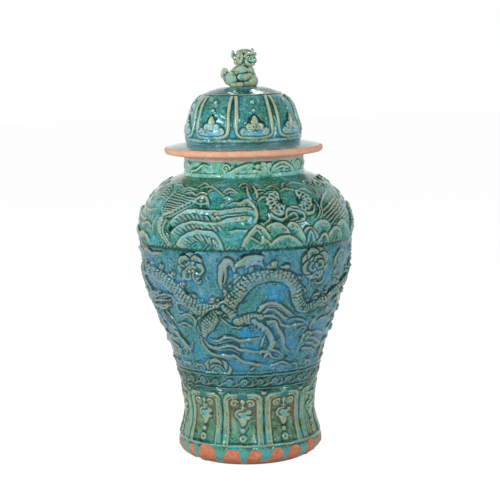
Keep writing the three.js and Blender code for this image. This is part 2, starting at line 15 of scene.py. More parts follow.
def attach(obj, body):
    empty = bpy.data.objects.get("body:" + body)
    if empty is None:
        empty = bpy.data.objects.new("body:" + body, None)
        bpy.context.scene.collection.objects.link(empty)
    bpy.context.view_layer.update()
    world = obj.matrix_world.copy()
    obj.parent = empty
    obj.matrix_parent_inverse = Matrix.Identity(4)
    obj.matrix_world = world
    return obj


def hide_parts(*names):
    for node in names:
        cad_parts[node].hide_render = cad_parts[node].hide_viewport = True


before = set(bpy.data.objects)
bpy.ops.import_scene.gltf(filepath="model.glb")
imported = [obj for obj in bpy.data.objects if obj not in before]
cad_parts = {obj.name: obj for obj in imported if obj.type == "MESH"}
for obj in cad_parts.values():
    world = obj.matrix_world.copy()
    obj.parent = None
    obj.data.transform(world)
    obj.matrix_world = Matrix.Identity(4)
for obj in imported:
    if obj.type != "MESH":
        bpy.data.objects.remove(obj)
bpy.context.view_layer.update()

MM = 0.001

# Jar: the heights of its seams, its neck, and its outline as heights and radii, as in the frame
FOOT_SEAM = 120
SHOULDER_SEAM = 340
NECK_SEAM = 443
NECK_TOP = 474.5
NECK_RADIUS = 92.5
NECK_BORE = 83.5
JAR_PROFILE = [
    (0, 89), (5, 98.5), (14, 110), (23.5, 111.7), (33, 109.7), (55, 103.3), (75, 99.9), (100, 102.5),
    (125, 108.3), (180, 122.9), (242, 144.7), (305, 161.4), (352, 166.3), (376, 163.9), (399, 154),
    (415, 142), (428, 128.6), (437, 111.3), (443, 95.9),
]

# Lid: the heights of its seam, of the panels' top and of its crown, and its outline
DOME_SEAM = 491
DOME_EDGE = 573
DOME_TOP = 576
DOME_PROFILE = [
    (491, 88.7), (508.6, 88), (524.3, 85.7), (539.9, 81.2), (552.4, 75), (561.8, 66.4), (568.1, 55.2),
    (573, 42),
]

# Panels round the foot and the dome: how many, and the azimuth of one of them
FOOT_PANELS = 10
FOOT_PANEL_FIRST = -5.7
LID_PANELS = 8
LID_PANEL_FIRST = 11.7

# All that a glaze reads from a wall: how lines stand out from what is round them, broadly and finely, how
# thick the ornament is, and where glaze gathers, is blue (above 0) or green, breaks to rust or has a brown
# shadow painted on, and is missing
FIELDS = ("crest", "fine", "relief", "gather", "hue", "rust_and_shade", "bare")

# Clay work: how far round a scaly body the clay is pressed away, and how wide the steep side of a lip is
PRESSED = 2.5
STEEP = 1.0

# Handwork, in mm: how far lines are softened, the reach of fine and of broad crests, how far glaze runs down
# before it gathers, and how much of a wall's end the ornament takes to fade where two walls meet
SOFTENED = 0.45
FINE_REACH = 1.7
BROAD_REACH = 5
RUN_DOWN = 2.4
SEAM_FADE = 2.6


# Walls

def profile(stations):
    """The radius of a wall as a function of height: a cubic through its stations"""
    z, r = np.array(stations, float).T
    low = np.maximum(np.arange(len(z)) - 1, 0)
    high = np.minimum(np.arange(len(z)) + 1, len(z) - 1)
    slope = (r[high] - r[low]) / (z[high] - z[low])

    def radius(height):
        height = np.clip(height, z[0], z[-1])
        k = np.clip(np.searchsorted(z, height, side="right") - 1, 0, len(z) - 2)
        span = z[k + 1] - z[k]
        t = (height - z[k]) / span
        return ((2 * t**3 - 3 * t**2 + 1) * r[k] + (t**3 - 2 * t**2 + t) * span * slope[k]
                + (3 * t**2 - 2 * t**3) * r[k + 1] + (t**3 - t**2) * span * slope[k + 1])

    return radius


jar_radius = profile(JAR_PROFILE)
dome_radius = profile(DOME_PROFILE)


def neck_radius(height):
    """The neck's wall, which flares where it meets the shoulder"""
    return NECK_RADIUS + 3.4 * np.exp(-(np.asarray(height, float) - NECK_SEAM) / 2.2)


def smooth_line(points, step=1.6):
    """A smooth line through [azimuth, height] points, resampled about every step mm"""
    p = np.array(points, float)
    mm = np.array([np.radians(110), 1.0])
    q = np.vstack([2 * p[0] - p[1], p, 2 * p[-1] - p[-2]])
    line = []
    for k in range(len(p) - 1):
        a, b, c, d = q[k:k + 4]
        count = max(int(np.hypot(*((c - b) * mm)) / step), 1)
        t = (np.arange(count) / count)[:, None]
        line.append(0.5 * (2 * b + (c - a) * t + (2 * a - 5 * b + 4 * c - d) * t**2
                           + (3 * b - a - 3 * c + d) * t**3))
    return np.vstack([*line, p[-1:]])


def spread(values, share):
    """The value at a share of a line's length, of values spread evenly over it"""
    values = np.atleast_1d(np.asarray(values, float))
    return np.interp(share, np.linspace(0, 1, len(values)), values)


class Canvas:
    """The unwrapped outside of a wall, half way round: its rows follow the wall up and its columns go round
    from azimuth -90. The other half repeats it. h is how far the clay stands out, in mm."""

    def __init__(self, radius, low, high, rows, columns):
        fine = np.linspace(low, high, 6000)
        r = radius(fine)
        run = np.concatenate([[0], np.cumsum(np.hypot(np.diff(r), np.diff(fine)))])
        self.z = np.interp(np.linspace(0, run[-1], rows + 1), run, fine)
        slope = np.interp(self.z, fine, np.gradient(r, fine))
        self.r = radius(self.z)
        self.up = np.hypot(1, slope)
        self.normal = np.stack([1 / self.up, -slope / self.up])
        self.row_mm = run[-1] / rows
        self.columns = columns
        self.step = 180 / columns
        self.per_degree = np.radians(self.r)
        self.h = np.zeros((rows + 1, columns))
        self.hue = np.zeros_like(self.h)
        self.rust_and_shade = np.zeros_like(self.h)
        self.wet = np.zeros_like(self.h)

    def window(self, low, high, left, right, reach):
        """Rows and columns within reach of a box of heights and azimuths"""
        i = np.searchsorted(self.z, [low - reach, high + reach])
        i[1] = max(i[1], i[0] + 1)
        widest = reach / self.per_degree[max(i[0] - 1, 0):i[1] + 1].min()
        j = int(math.floor((left - widest + 90) / self.step)), int(math.ceil((right + widest
                                                                              + 90) / self.step)) + 1
        return (i[0], i[1]), j

    def near(self, line, reach):
        """Where a line passes: rows, columns, distance from it, its left side positive, and mm along it"""
        (i0, i1), (j0, j1) = self.window(line[:, 1].min(), line[:, 1].max(), line[:, 0].min(),
                                         line[:, 0].max(), reach)
        shape = (max(i1 - i0, 0), j1 - j0)
        far, side, run = np.full(shape, 1e9), np.zeros(shape), np.zeros(shape)
        a = (np.arange(j0, j1) * self.step - 90)[None, :]
        z, per, up = self.z[i0:i1, None], self.per_degree[i0:i1, None], self.up[i0:i1, None]
        along = 0.0
        for p, q in zip(line[:-1], line[1:]):
            (m0, m1), (n0, n1) = self.window(min(p[1], q[1]), max(p[1], q[1]), min(p[0], q[0]),
                                             max(p[0], q[0]), reach)
            rows = slice(max(m0 - i0, 0), min(m1, i1) - i0)
            cols = slice(max(n0 - j0, 0), min(n1, j1) - j0)
            k, u = per[rows], up[rows]
            if not k.size:
                continue
            px, py = (p[0] - a[:, cols]) * k, (p[1] - z[rows]) * u
            dx, dy = (q[0] - p[0]) * k, (q[1] - p[1]) * u
            length = np.maximum(dx * dx + dy * dy, 1e-9)
            t = np.clip(-(px * dx + py * dy) / length, 0, 1)
            ex, ey = px + t * dx, py + t * dy
            d = np.hypot(ex, ey)
            box = (rows, cols)
            closer = d < far[box]
            far[box] = np.where(closer, d, far[box])
            side[box] = np.where(closer, np.where(dy * ex - dx * ey > 0, 1.0, -1.0), side[box])
            run[box] = np.where(closer, along + t * np.sqrt(length), run[box])
            along += float(np.sqrt(length).mean())
        return (np.arange(i0, i1), np.arange(j0, j1) % self.columns), far, side, run, max(along, 1e-6)

    def put(self, box, new, keep=None):
        """Lays clay where it stands higher than what is there. keep presses what is there down first"""
        at = np.ix_(*box)
        under = self.h[at] if keep is None else self.h[at] * keep
        self.h[at] = np.maximum(under, new)

    def ridge(self, line, half, height, crown=2.0, clear=0.0, lean=0.0):
        """A line of clay. half and height are its half widths and heights from start to end, crown how flat
        its top is, clear how far round it the clay under it is pressed away, and lean moves its crest to
        the left"""
        box, far, side, run, total = self.near(smooth_line(line), np.max(half) + clear + 0.5)
        w = np.maximum(spread(half, run / total), 0.05)
        x = side * far / w
        x = np.where(x > lean, (x - lean) / (1 - lean), (x - lean) / (1 + lean))
        rise = spread(height, run / total) * np.clip(1 - np.abs(x)**crown, 0, 1)**0.6
        rise = np.where(far < w, rise, 0)
        self.put(box, rise, np.clip((far - w) / clear, 0, 1) if clear else None)

    def scaly(self, line, girth, height, scale, belly=0):
        """A round body covered with scales that point back along its line. belly is the side, 1 or -1, that
        has plates across it"""
        box, far, side, run, total = self.near(smooth_line(line), np.max(girth) + PRESSED + 0.5)
        w = np.maximum(spread(girth, run / total), 0.05)
        x = side * far / w
        u = run / scale
        row = np.floor(u)
        v = np.arcsin(np.clip(x, -1, 1)) * w / (scale * 0.95) + 0.5 * (row % 2)
        bead = np.sqrt(np.clip(1 - (np.hypot(u - row - 0.5, v - np.round(v)) / 0.56)**2, 0, 1))
        round_back = spread(height, run / total) * np.sqrt(np.clip(1 - x * x, 0, 1))
        rise = round_back + 2.1 * (bead - 0.55) * (np.abs(x) < 0.94)
        if belly:
            plates = 0.5 + 0.5 * np.cos(2 * np.pi * run / (0.8 * scale))
            on = (x * belly > 0.42) & (x * belly < 0.95)
            rise = np.where(on, round_back * 0.86 + 0.9 * plates, rise)
        rise = np.where(far < w, np.maximum(rise, 0.2), 0)
        self.put(box, rise, np.clip((far - w) / PRESSED, 0, 1))

    def lip(self, line, height, fall, side=-1, face=0.3, cut=0.55, rim=1.5):
        """The edge of a flat form that lies over what is beside it: a steep side with a groove at its foot,
        a crisp rim, and on the other side a face that sinks away from the rim over fall mm. side is -1
        where the form lies to the right of its line, face how high the face stays, cut how deep the groove
        is"""
        box, far, sign, run, total = self.near(smooth_line(line), fall + 3.5)
        d = np.where(sign == 0, -far, side * sign * far)
        share = run / total
        end = (run <= 0) | (share >= 1)
        reach = np.where(end, 2.0, fall)
        h = spread(height, share)
        face = 0.35 + 0.65 * face
        inner = h * ((1 - face) * np.exp(-(np.maximum(d - rim * 0.5, 0) / rim)**2) + face)
        inner = inner * np.clip(1.35 * (1 - d / reach), 0, 1)
        outer = h * np.clip(1 + d / STEEP, 0, 1)
        rise = np.where(d >= 0, inner, outer)
        keep = np.where(d >= 0, np.clip((d / reach - 0.7) / 0.3, 0, 1),
                        np.clip((-d - STEEP - 0.4) / 1.6, 0, 1))
        groove = np.where(d < 0, cut * np.exp(-((-d - STEEP - 0.9) / 0.9)**2), 0)
        at = np.ix_(*box)
        self.h[at] = np.maximum(self.h[at] * keep, rise) - np.where(end, 0.4, 1.0) * groove

    def button(self, a, z, radius, height, wide=1.0, tilt=0.0, clear=0.0, hollow=0.0):
        """A round or oval lump, hollow in its middle if hollow is above 0"""
        reach = radius * max(wide, 1) + clear + 1
        (i0, i1), (j0, j1) = self.window(z, z, a, a, reach)
        x = ((np.arange(j0, j1) * self.step - 90)[None, :] - a) * self.per_degree[i0:i1, None]
        y = ((self.z[i0:i1, None] - z) * self.up[i0:i1, None]) + 0 * x
        c, s = math.cos(math.radians(tilt)), math.sin(math.radians(tilt))
        d = np.hypot((x * c + y * s) / wide, y * c - x * s) / radius
        rise = height * np.sqrt(np.clip(1 - d * d, 0, 1)) - hollow * np.exp(-(d / 0.45)**2) * (d < 1)
        box = (np.arange(i0, i1), np.arange(j0, j1) % self.columns)
        self.put(box, np.maximum(rise, 0), np.clip((d - 1) * radius / clear, 0, 1) if clear else None)

    def stain(self, spots, field=None):
        """Adds round patches of [azimuth, height, radius, strength], twice as wide as high, to a field of
        the glaze: its hue from green to blue, its rust and painted brown shadow, or how wet and dark it lies"""
        field = self.hue if field is None else field
        for a, z, radius, strength in spots:
            (i0, i1), (j0, j1) = self.window(z, z, a, a, radius * 4)
            x = ((np.arange(j0, j1) * self.step - 90)[None, :] - a) * self.per_degree[i0:i1, None]
            y = (self.z[i0:i1, None] - z) * self.up[i0:i1, None]
            at = np.ix_(np.arange(i0, i1), np.arange(j0, j1) % self.columns)
            field[at] += strength * np.exp(-(x / (1.5 * radius))**2 - (y / radius)**2)

    def stroke(self, field, line, width, strength):
        """Adds a soft stripe along a line to a field of the glaze"""
        box, far, *_ = self.near(smooth_line(line), width * 3)
        field[np.ix_(*box)] += strength * np.exp(-(far / width)**2)

    def place(self, a, z, x, y):
        """Azimuth and height of a point x mm right and y mm up the wall from another"""
        per = np.interp(z, self.z, self.per_degree)
        return a + np.asarray(x) / per, z + np.asarray(y) / np.interp(z, self.z, self.up)

    def curl(self, a, z, radius, turns, start, half, height, hand=1, tail=(), base=0.5, clear=0.0):
        """A line of clay that winds in to its centre, on a low mound, with a tail that leads into it"""
        if base:
            self.button(a, z, radius + half, height * base, clear=clear)
        t = np.linspace(0, 1, max(int(14 * turns), 6))
        angle = np.radians(start) + hand * 2 * np.pi * turns * t
        reach = radius * (1 - 0.86 * t)
        at, up = self.place(a, z, reach * np.cos(angle), reach * np.sin(angle))
        line = [*tail, *zip(at, up)]
        self.ridge(line, [half * 0.7, half, half, half * 0.7] if tail else [half, half, half * 0.7], height)

    def bloom(self, a, z, radius, count, height, turn=0, sweep=360, size=0.5, squash=1.0, face=0.3, rim=1.8):
        """A ring of petals round a centre, each a rim of clay round a hollow face that is open towards it"""
        pitch = sweep / count
        small = radius * size
        t = np.radians([125, 95, 60, 30, 0, -30, -60, -95, -125])
        order = [*range(1, count, 2), *range(0, count, 2)]
        if sweep < 360:
            order.sort(key=lambda k: -abs(k - (count - 1) / 2))
        for k in order:
            middle = math.radians(turn + pitch * (k + 0.5))
            away = radius - small
            x = away * math.cos(middle) + small * np.cos(middle + t)
            y = (away * math.sin(middle) + small * np.sin(middle + t)) * squash
            self.lip(list(zip(*self.place(a, z, x, y))), [height * 0.7, height, height, height * 0.7],
                     small * 1.4, face=face, cut=0.25, rim=rim)

    def comb(self, line, count, length, lean, half, height, curve=0.0):
        """A row of short tapering teeth along a line, lean degrees from it and bent by curve degrees"""
        line = smooth_line(line)
        for k in range(count):
            at = (k + 0.5) / count * (len(line) - 1)
            i = min(int(at), len(line) - 2)
            p, q = line[i], line[i + 1]
            per = np.interp(p[1], self.z, self.per_degree)
            run = math.atan2(q[1] - p[1], (q[0] - p[0]) * per) + math.radians(lean)
            long = spread(length, k / max(count - 1, 1))
            turn = np.array([0.5, 1]) * math.radians(curve)
            x = np.cumsum([0, *(long / 2 * np.cos(run + turn))])
            y = np.cumsum([0, *(long / 2 * np.sin(run + turn))])
            self.ridge(list(zip(*self.place(p[0], p[1], x, y))), [half, half * 0.9, half * 0.3], height)

    def between(self, first, last, count, half, height):
        """Ridges that fan from the line first to the line last, evenly spread"""
        first, last = smooth_line(first, 1.0), smooth_line(last, 1.0)
        for k in range(count):
            t = k / max(count - 1, 1)
            p = first[int(round(t * (len(first) - 1)))]
            q = last[int(round(t * (len(last) - 1)))]
            self.ridge([p, (p + q) / 2, q], half, height)

    def ring(self, z, half, height):
        """A line of clay all the way round"""
        self.ridge([(a, z) for a in range(-100, 101, 5)], half, height)

    def ridges(self, lines, half, height, **more):
        """Several ridges of one kind"""
        for line in lines:
            self.ridge(line, half, height, **more)

    def lips(self, lines, height, fall, **more):
        """Several lips of one kind"""
        for line in lines:
            self.lip(line, height, fall, **more)

    def belt(self, z, width):
        """A soft belt round the wall at a height: 1 in its middle, and about a third a width from it"""
        return np.exp(-((self.z[:, None] - z) / width)**2)

    def past(self, z, over):
        """0 up to a height and 1 from over mm past it, which is below it where over is negative"""
        return np.clip((self.z[:, None] - z) / over, 0, 1)

    def soften(self, field, mm):
        """The field blurred over the wall. It repeats round the jar and is mirrored at its top and bottom"""
        f = np.fft.rfftfreq(self.columns)
        width = mm / (self.per_degree * self.step)
        out = np.fft.irfft(np.fft.rfft(field, axis=1) * np.exp(-2 * (np.pi * width[:, None]
                                                                     * f[None, :])**2),
                           n=self.columns, axis=1)
        double = np.vstack([out, out[::-1]])
        f = np.fft.rfftfreq(len(double))
        out = np.fft.irfft(np.fft.rfft(double, axis=0) * np.exp(-2 * (np.pi * mm / self.row_mm
                                                                      * f[:, None])**2),
                           n=len(double), axis=0)
        return out[:len(field)]


def flipped(middle, side, points):
    """A panel's points, given as degrees out from its middle and height, on its right (1) or left (-1)"""
    return [(middle + side * a, z) for a, z in points]


# Ornament of the foot

def foot_ornament(c):
    """Ten round-headed panels, open at the base, each with a cloud under two hooks and beads below it"""
    pitch = 360 / FOOT_PANELS
    band = [(-15.0, 35), (-14.9, 60), (-14.9, 100), (-14.5, 107), (-11.8, 111.4), (-5, 112.6)]
    crest = [(-12.6, 35), (-12.5, 60), (-12.5, 99), (-12.0, 104.6), (-9.6, 107.8), (-4.4, 108.4)]
    lobe = [(-3.2, 73.6), (-6.0, 77.6), (-6.9, 83.6), (-4.4, 88.6), (0.6, 89.8)]
    # Brown lines painted in the rust field: rust round the hooks and the cloud, and the first of them a
    # painted shadow along the inside of each arch, under its raised band
    rust_and_shade_lines = [([(11.4, 62), (11.3, 84), (11, 100), (8, 106), (3, 107)], 2.0, 0.42),
             ([(2, 94), (5, 92), (8, 93)], 2.4, 0.42), ([(8.2, 90), (8.6, 80), (6, 72), (2.6, 67)], 1.5,
                                                        0.3)]
    for k in range(-1, 7):
        m = FOOT_PANEL_FIRST + pitch * k
        c.ridge([(m + 0.4, 87.6), (m - 0.2, 80), (m + 0.4, 69)], [7.5, 10.5, 5.0], 2.6, crown=7)
        c.lip(flipped(m, 1, lobe), [1.6, 2.6, 3.0, 2.6, 1.8], 5.5, face=0.75, rim=1.7)
        for side in (1, -1):
            c.ridge(flipped(m, side, band), [4.0, 4.0, 4.0, 2.6], 1.7, crown=7)
            c.ridge(flipped(m, side, crest), [1.3, 1.4, 1.4, 0.9], 2.7, lean=0.2 * side)
            # Hooks that curl in under the arch, above the cloud that hangs below them
            c.curl(m + side * 7.0, 99.0, 5.8, 1.15, 90 + side * 60, 2.1, 3.3, hand=-side, base=0.35, clear=1)
        c.curl(m + 5.2, 85.8, 3.4, 1.15, 200, 1.7, 3.8, base=0.4)
        c.curl(m + 5.0, 76.8, 3.0, 1.15, 150, 1.6, 3.6, base=0.4)
        c.button(m - 2.6, 74.0, 2.9, 3.5)
        c.button(m + 0.8, 69.6, 2.8, 3.4)
        c.curl(m, 102, 3.0, 1.1, -90, 1.4, 3.0)
        c.ridge([(m, 97), (m, 92.5), (m, 88)], [1.2, 1.8, 1.2], 2.8)
        c.button(m, 64.8, 2.6, 2.8)
        c.button(m, 56.4, 3.9, 3.4, clear=0.8)
        c.button(m, 44.4, 5.9, 3.4, clear=0.8, hollow=3.2)
        c.button(m + pitch / 2, 115, 3.4, 1.8, wide=1.4)
        c.stain([(m + 0.5, 80, 4, 0.6), (m, 44.4, 2, 0.5), (m, 110.5, 3, 0.9), (m + 6, 113, 3, 0.6),
                 (m - 6, 113, 3, 0.6), (m + 12, 34, 4, 0.9), (m - 8, 31, 4, 0.8), (m + 18, 70, 6, 0.35),
                 (m + 18, 46, 6, 0.5)])
        c.stain([(m, 110.5, 2.6, 0.6), (m + 18, 114.5, 2.4, 0.5), (m - 6, 112.5, 2, 0.4),
                 (m + 5, 112.5, 2, 0.4)], c.wet)
        # Each side gets its brown lines, one of them painted shadow inside the arch, and a dark line of
        # thick glaze between the panels
        for side in (1, -1):
            for line, width, strength in rust_and_shade_lines:
                c.stroke(c.rust_and_shade, flipped(m, side, line), width, strength)
            c.stroke(c.wet, flipped(m, side, [(17.9, 40), (17.9, 100)]), 0.8, 0.5)
    c.ring(33.4, 2.2, 1.6)
    c.hue += 0.75 * c.past(29.5, -4)
    c.wet += 0.8 * c.belt(36.2, 1.5) + 0.5 * c.belt(118, 2.0)


# Ornament of the belly

def border(c):
    """The band of wave scrolls at the bottom of the belly, between two raised lines"""
    for z in (122.6, 143.6):
        c.ring(z, 1.3, 1.5)
    for k in range(-1, 16):
        a = -90 + 12 * k
        c.curl(a + 3, 133.5, 5.2, 1.3, 200, 1.5, 1.9, hand=-1,
               tail=[(a - 6.5, 127.5), (a - 3.6, 128.5), (a - 1.2, 131)], base=0.3)
        c.ridge([(a + 4.2, 127.2), (a + 7.5, 129), (a + 9, 134), (a + 7.5, 138.5)], [0.6, 1.3, 0.6], 1.6)
        c.ridge([(a - 3.5, 139), (a - 1, 140.8), (a + 2, 141)], [0.6, 1.1, 0.6], 1.0)
    c.rust_and_shade += 0.34 * np.clip(1.1 - np.abs(c.z[:, None] - 133) / 12, 0, 1)


def dragon(c):
    """The dragon that runs to the left round the belly, its head at the left edge of the front"""
    # Ribbons of flame that trail from the thigh, each a lip over a sinking face
    ribbons = [
        ([(-31, 197), (-28, 185), (-22, 178.5), (-14, 179), (-9, 178.5), (-2, 168.5), (5, 165.5), (12, 161)],
         [1.2, 3, 3.4, 3.4, 1.8], 9),
        ([(-30, 203), (-27, 194), (-22, 190.5), (-17, 193), (-11, 195.5), (-6, 190), (0, 186), (8, 184)],
         [1.4, 3.2, 3.4, 3.2, 1.6], 7.5),
        ([(-25, 204), (-20, 202.5), (-15.5, 208.5), (-10, 208.5), (-5, 203.5), (0, 204.5), (6, 206)],
         [1.2, 3.2, 3.4, 3, 1.4], 7.5),
    ]
    for line, height, fall in ribbons:
        c.lip(line, height, fall, rim=2.8)
        c.stroke(c.rust_and_shade, line, 1.8, 0.3)
    c.ridge([(-32, 206), (-32, 195), (-28.5, 184), (-22, 177)], [1.4, 2.2, 1.0], 2.6, lean=0.3)
    c.ridge([(-29, 199), (-25, 188.5), (-19, 185.5), (-12, 187.5), (-6, 181)], [1.3, 1.6, 1.0], 2.4,
            lean=0.3)
    c.ridge([(-26, 198), (-21, 196), (-15, 200.5), (-9, 202), (-4, 197)], [1.1, 1.4, 0.8], 2.2, lean=0.3)
    body = [
        (-76, 256), (-83, 264), (-86, 279), (-82, 296), (-73, 304), (-62, 301), (-52, 294), (-44, 280),
        (-37, 264), (-29, 253), (-20, 249), (-13, 255), (-6, 273), (-1, 290), (5, 301), (14, 304), (22, 299),
        (27.5, 283), (30, 262), (35, 249), (43, 251), (53, 260), (64, 272), (74, 285), (80, 300),
    ]
    girth = [6, 8, 10, 11.5, 12.5, 13, 13, 12.5, 12, 11, 10.5, 10, 10, 9.5, 9, 8, 7, 5, 2.5]
    # Fins along the back, like small breaking waves
    fins = [(-68, 316, 12), (-60, 318, 12), (-51.5, 316, 12), (-42.5, 307.5, 12), (-36.2, 292, 11),
            (-31, 274, 13), (-26.4, 266, 9), (-20.5, 269.5, 12), (-17, 267, 8), (-12.8, 280, 11),
            (-9.4, 289, 9), (-6.5, 303, 12), (2, 316, 10), (13.6, 323, 14), (20.5, 317, 13),
            (23.6, 306.5, 9), (28.8, 299.5, 10), (33.5, 279, 12), (42, 268, 9), (50, 274, 9), (60, 287, 9),
            (70, 300, 8)]
    path = smooth_line(body)
    for a, z, size in fins:
        at = int(np.argmin((path[:, 0] - a)**2 * 7 + (path[:, 1] - z)**2))
        at = min(max(at, 1), len(path) - 2)
        near = path[at]
        per = float(np.interp(near[1], c.z, c.per_degree))
        run = (path[at + 1] - path[at - 1]) * [per, 1]
        run = run / np.linalg.norm(run) / [per, 1]
        out = np.array([a, z]) - near
        tip, w = near + out * 1.05, size * 0.5
        tilt = math.degrees(math.atan2(run[1], run[0] * per))
        c.button(*(near + out * 0.55), size * 0.5, 3.6, wide=1.25, tilt=tilt, clear=1.0)
        c.button(*(tip - out * 0.1 + run * w * 0.45), size * 0.27, 5.0, wide=1.3, tilt=tilt)
    c.scaly(body, girth, 4.8, 6.0, belly=-1)
    c.stroke(c.hue, body, 9, -0.4)
    # A line of beads along the back, and plates in the bend under the head of the back
    for a, z, size in ((-8, 250, 4.6), (-8.4, 262, 4.6), (-5.4, 274.5, 4.6), (-1.6, 288, 5), (3.2, 295, 4.4),
                       (-10.5, 243, 4)):
        c.button(a, z, size, 5.2, hollow=1.5)
        c.button(a, z, size * 0.4, 5.6)
    # Thigh with its own scales
    c.scaly([(-16, 249), (-21, 238), (-26, 223), (-29, 209)], [6, 11, 11.5, 4], 3.8, 5.2)
    c.lip([(-29, 240), (-32.5, 232), (-33, 222), (-31.5, 210)], 2.4, 4, 1)
    # Hip, the hair that streams from it and the hind leg with its claws
    c.scaly([(-13, 256), (-9, 245), (-6, 228)], [6, 6.5, 4], 3.6, 5)
    c.lip([(-17, 244), (-15, 234), (-11, 226), (-6, 222), (-3, 226)], 2.4, 4, 1)
    c.scaly([(-6, 233), (0, 236), (6, 238), (10, 243)], [7, 9, 9, 4], 3.8, 5)
    c.ridge([(4, 234), (10, 223), (14, 210), (16.5, 198), (15, 187), (12.5, 178)], [6, 5, 5.5, 5.5, 3], 3.0,
            clear=1.0)
    locks = [
        ([(6, 249), (9, 258), (14, 263.5), (19, 259), (24, 249), (28.5, 240)], [3.2, 4, 3.8, 1.4], 10, 3.4),
        ([(9, 248), (12.5, 253), (16.5, 251.5), (20, 244), (24.5, 235), (28, 230)], [2.8, 3.8, 3.4, 1.4], 8,
         3.2),
        ([(10, 242.5), (15, 242), (19, 234), (22, 226), (27, 222.5), (32, 224), (37, 223)],
         [2.8, 3.6, 3.2, 1.2], 7, 3.0),
        ([(12, 232.5), (17, 232.5), (19.5, 222), (23.5, 209), (25.5, 197), (26, 189), (30, 182)],
         [2.8, 3.6, 3.4, 1.2], 9, 3.0),
    ]
    for line, height, fall, rim in locks:
        c.lip(line, height, fall, face=0.36, rim=rim)
        c.stroke(c.rust_and_shade, line, 2.6, 0.36)
    c.ridge([(10.5, 251), (13, 256), (16.5, 255.5), (20, 249)], [1.0, 1.5, 0.8], 3.2)
    c.lip([(25, 231), (30, 233.5), (34.5, 231.5), (38.5, 226)], [1.2, 3, 2.6, 1], 5, rim=2)
    c.ridge([(17, 229), (19, 219), (22, 208), (23.5, 197)], [0.9, 1.4, 0.8], 3.0)
    c.comb([(4, 232), (9, 222), (13, 212)], 4, 6, -55, 1.5, 4.2)
    c.button(17, 197, 5, 4, wide=1.2)
    c.ridge([(10.5, 206), (9.6, 199), (9.4, 192)], [1.8, 2.2, 1.2], 3.2)
    c.ridges([[(14, 180), (12.5, 177.5), (10.8, 171)], [(14.5, 181), (17, 173.5), (21.5, 170)],
              [(13, 184), (9.8, 184), (7.8, 178)], [(17, 185), (21.5, 181), (23.5, 174)]], [2.6, 2.2, 0.8],
             [4.2, 4.0, 2.2])
    # Foreleg and its claws
    c.scaly([(-70, 248), (-63, 236), (-57, 222), (-52, 207)], [6, 6.5, 5.5, 4.6], 4, 5)
    c.ridge([(-53, 209), (-50, 199), (-46.5, 189)], [4.6, 4.4, 4.4], 3.8, lean=-0.3, clear=1)
    c.ridges([[(-47, 190), (-43, 185), (-40.8, 196)], [(-47, 190), (-51, 182), (-54, 180)],
              [(-46, 189), (-45, 179), (-44, 175)], [(-47, 190), (-48.5, 179), (-51.5, 173)]],
             [2.6, 2.2, 0.8], [4.2, 4.0, 2.2])
    c.ridge([(-58, 213), (-53, 206), (-49.5, 200)], [1, 1.6, 0.8], 5)
    # Head: mane, snout, open jaws, nose, brow, horn and beard
    c.ridge([(-78, 257), (-69, 260), (-60, 266), (-50, 269)], [9, 9, 7, 4], 5.2, crown=3, clear=2)
    c.lip([(-66, 262), (-58, 268.5), (-50, 271.5), (-46, 268), (-45.6, 259)], [4.5, 5.8, 6.2, 5], 6,
          face=0.5, rim=2)
    c.ridge([(-72, 255), (-64, 256.5), (-55, 260), (-49.5, 261)], [1.6, 2, 1.2], 6.6, lean=-0.3)
    c.ridge([(-76, 249), (-66, 246), (-58, 247), (-50.5, 252.5)], [6, 5, 4, 1.8], 4.6, clear=1.5)
    c.ridge([(-62, 250.5), (-56, 251.8), (-50.4, 255)], [1.2, 1.6, 1.0], 5.6)
    c.button(-65, 264.5, 3.6, 7.4)
    c.ridge([(-70, 268), (-65, 270.5), (-60, 268.5)], [1.2, 2, 1], 7.2)
    c.ridge([(-68, 268), (-72, 277), (-77, 283), (-80, 292)], [3, 2.4, 1.6, 0.8], 5.6)
    for k in range(4):
        c.curl(-76 + 1.5 * k, 246 - 5.5 * k, 4.2, 1.2, 60, 1.4, 4.4, hand=1 if k % 2 else -1)
    c.lip([(-66, 243), (-62, 241), (-60, 233), (-56.5, 224)], [2.6, 3.4, 2.8, 1.2], 6, rim=2)
    c.ridge([(-57, 243), (-55, 235), (-52, 230)], [1.8, 1.8, 0.8], 3)
    # Whiskers and drifting curves round the throat
    c.ridge([(-45.5, 270), (-44.6, 262), (-42, 257), (-40, 258.5)], [1.6, 2, 1.8, 0.8], 3.8)
    c.ridge([(-45, 257), (-45, 249), (-43, 243), (-38.5, 242)], [1.8, 2.2, 1.4, 0.7], 3.4)
    c.lip([(-51, 222), (-47, 223.5), (-43, 218.5)], [1.4, 3, 1.2], 5)
    c.lip([(-46.5, 224.5), (-41.5, 227.5), (-36.5, 221)], [1.4, 3, 1.2], 5)
    c.lip([(-44, 239), (-38, 242.5), (-33.5, 238), (-32.5, 230), (-34.5, 221)], [1.4, 3.2, 3, 1.2], 8,
          rim=1.8)
    c.ridge([(-40, 236), (-37, 236.5), (-35.5, 231)], [1.0, 1.4, 0.8], 2.6)
    c.curl(-35.5, 243, 3.8, 1.2, 0, 1.4, 3)
    # Tail tuft
    c.ridges([[(78, 297), (83, 306), (88, 309)], [(78, 296), (85, 297), (90, 300)],
              [(77, 296), (79, 308), (83, 316)]], [2.4, 2.8, 1], 3)


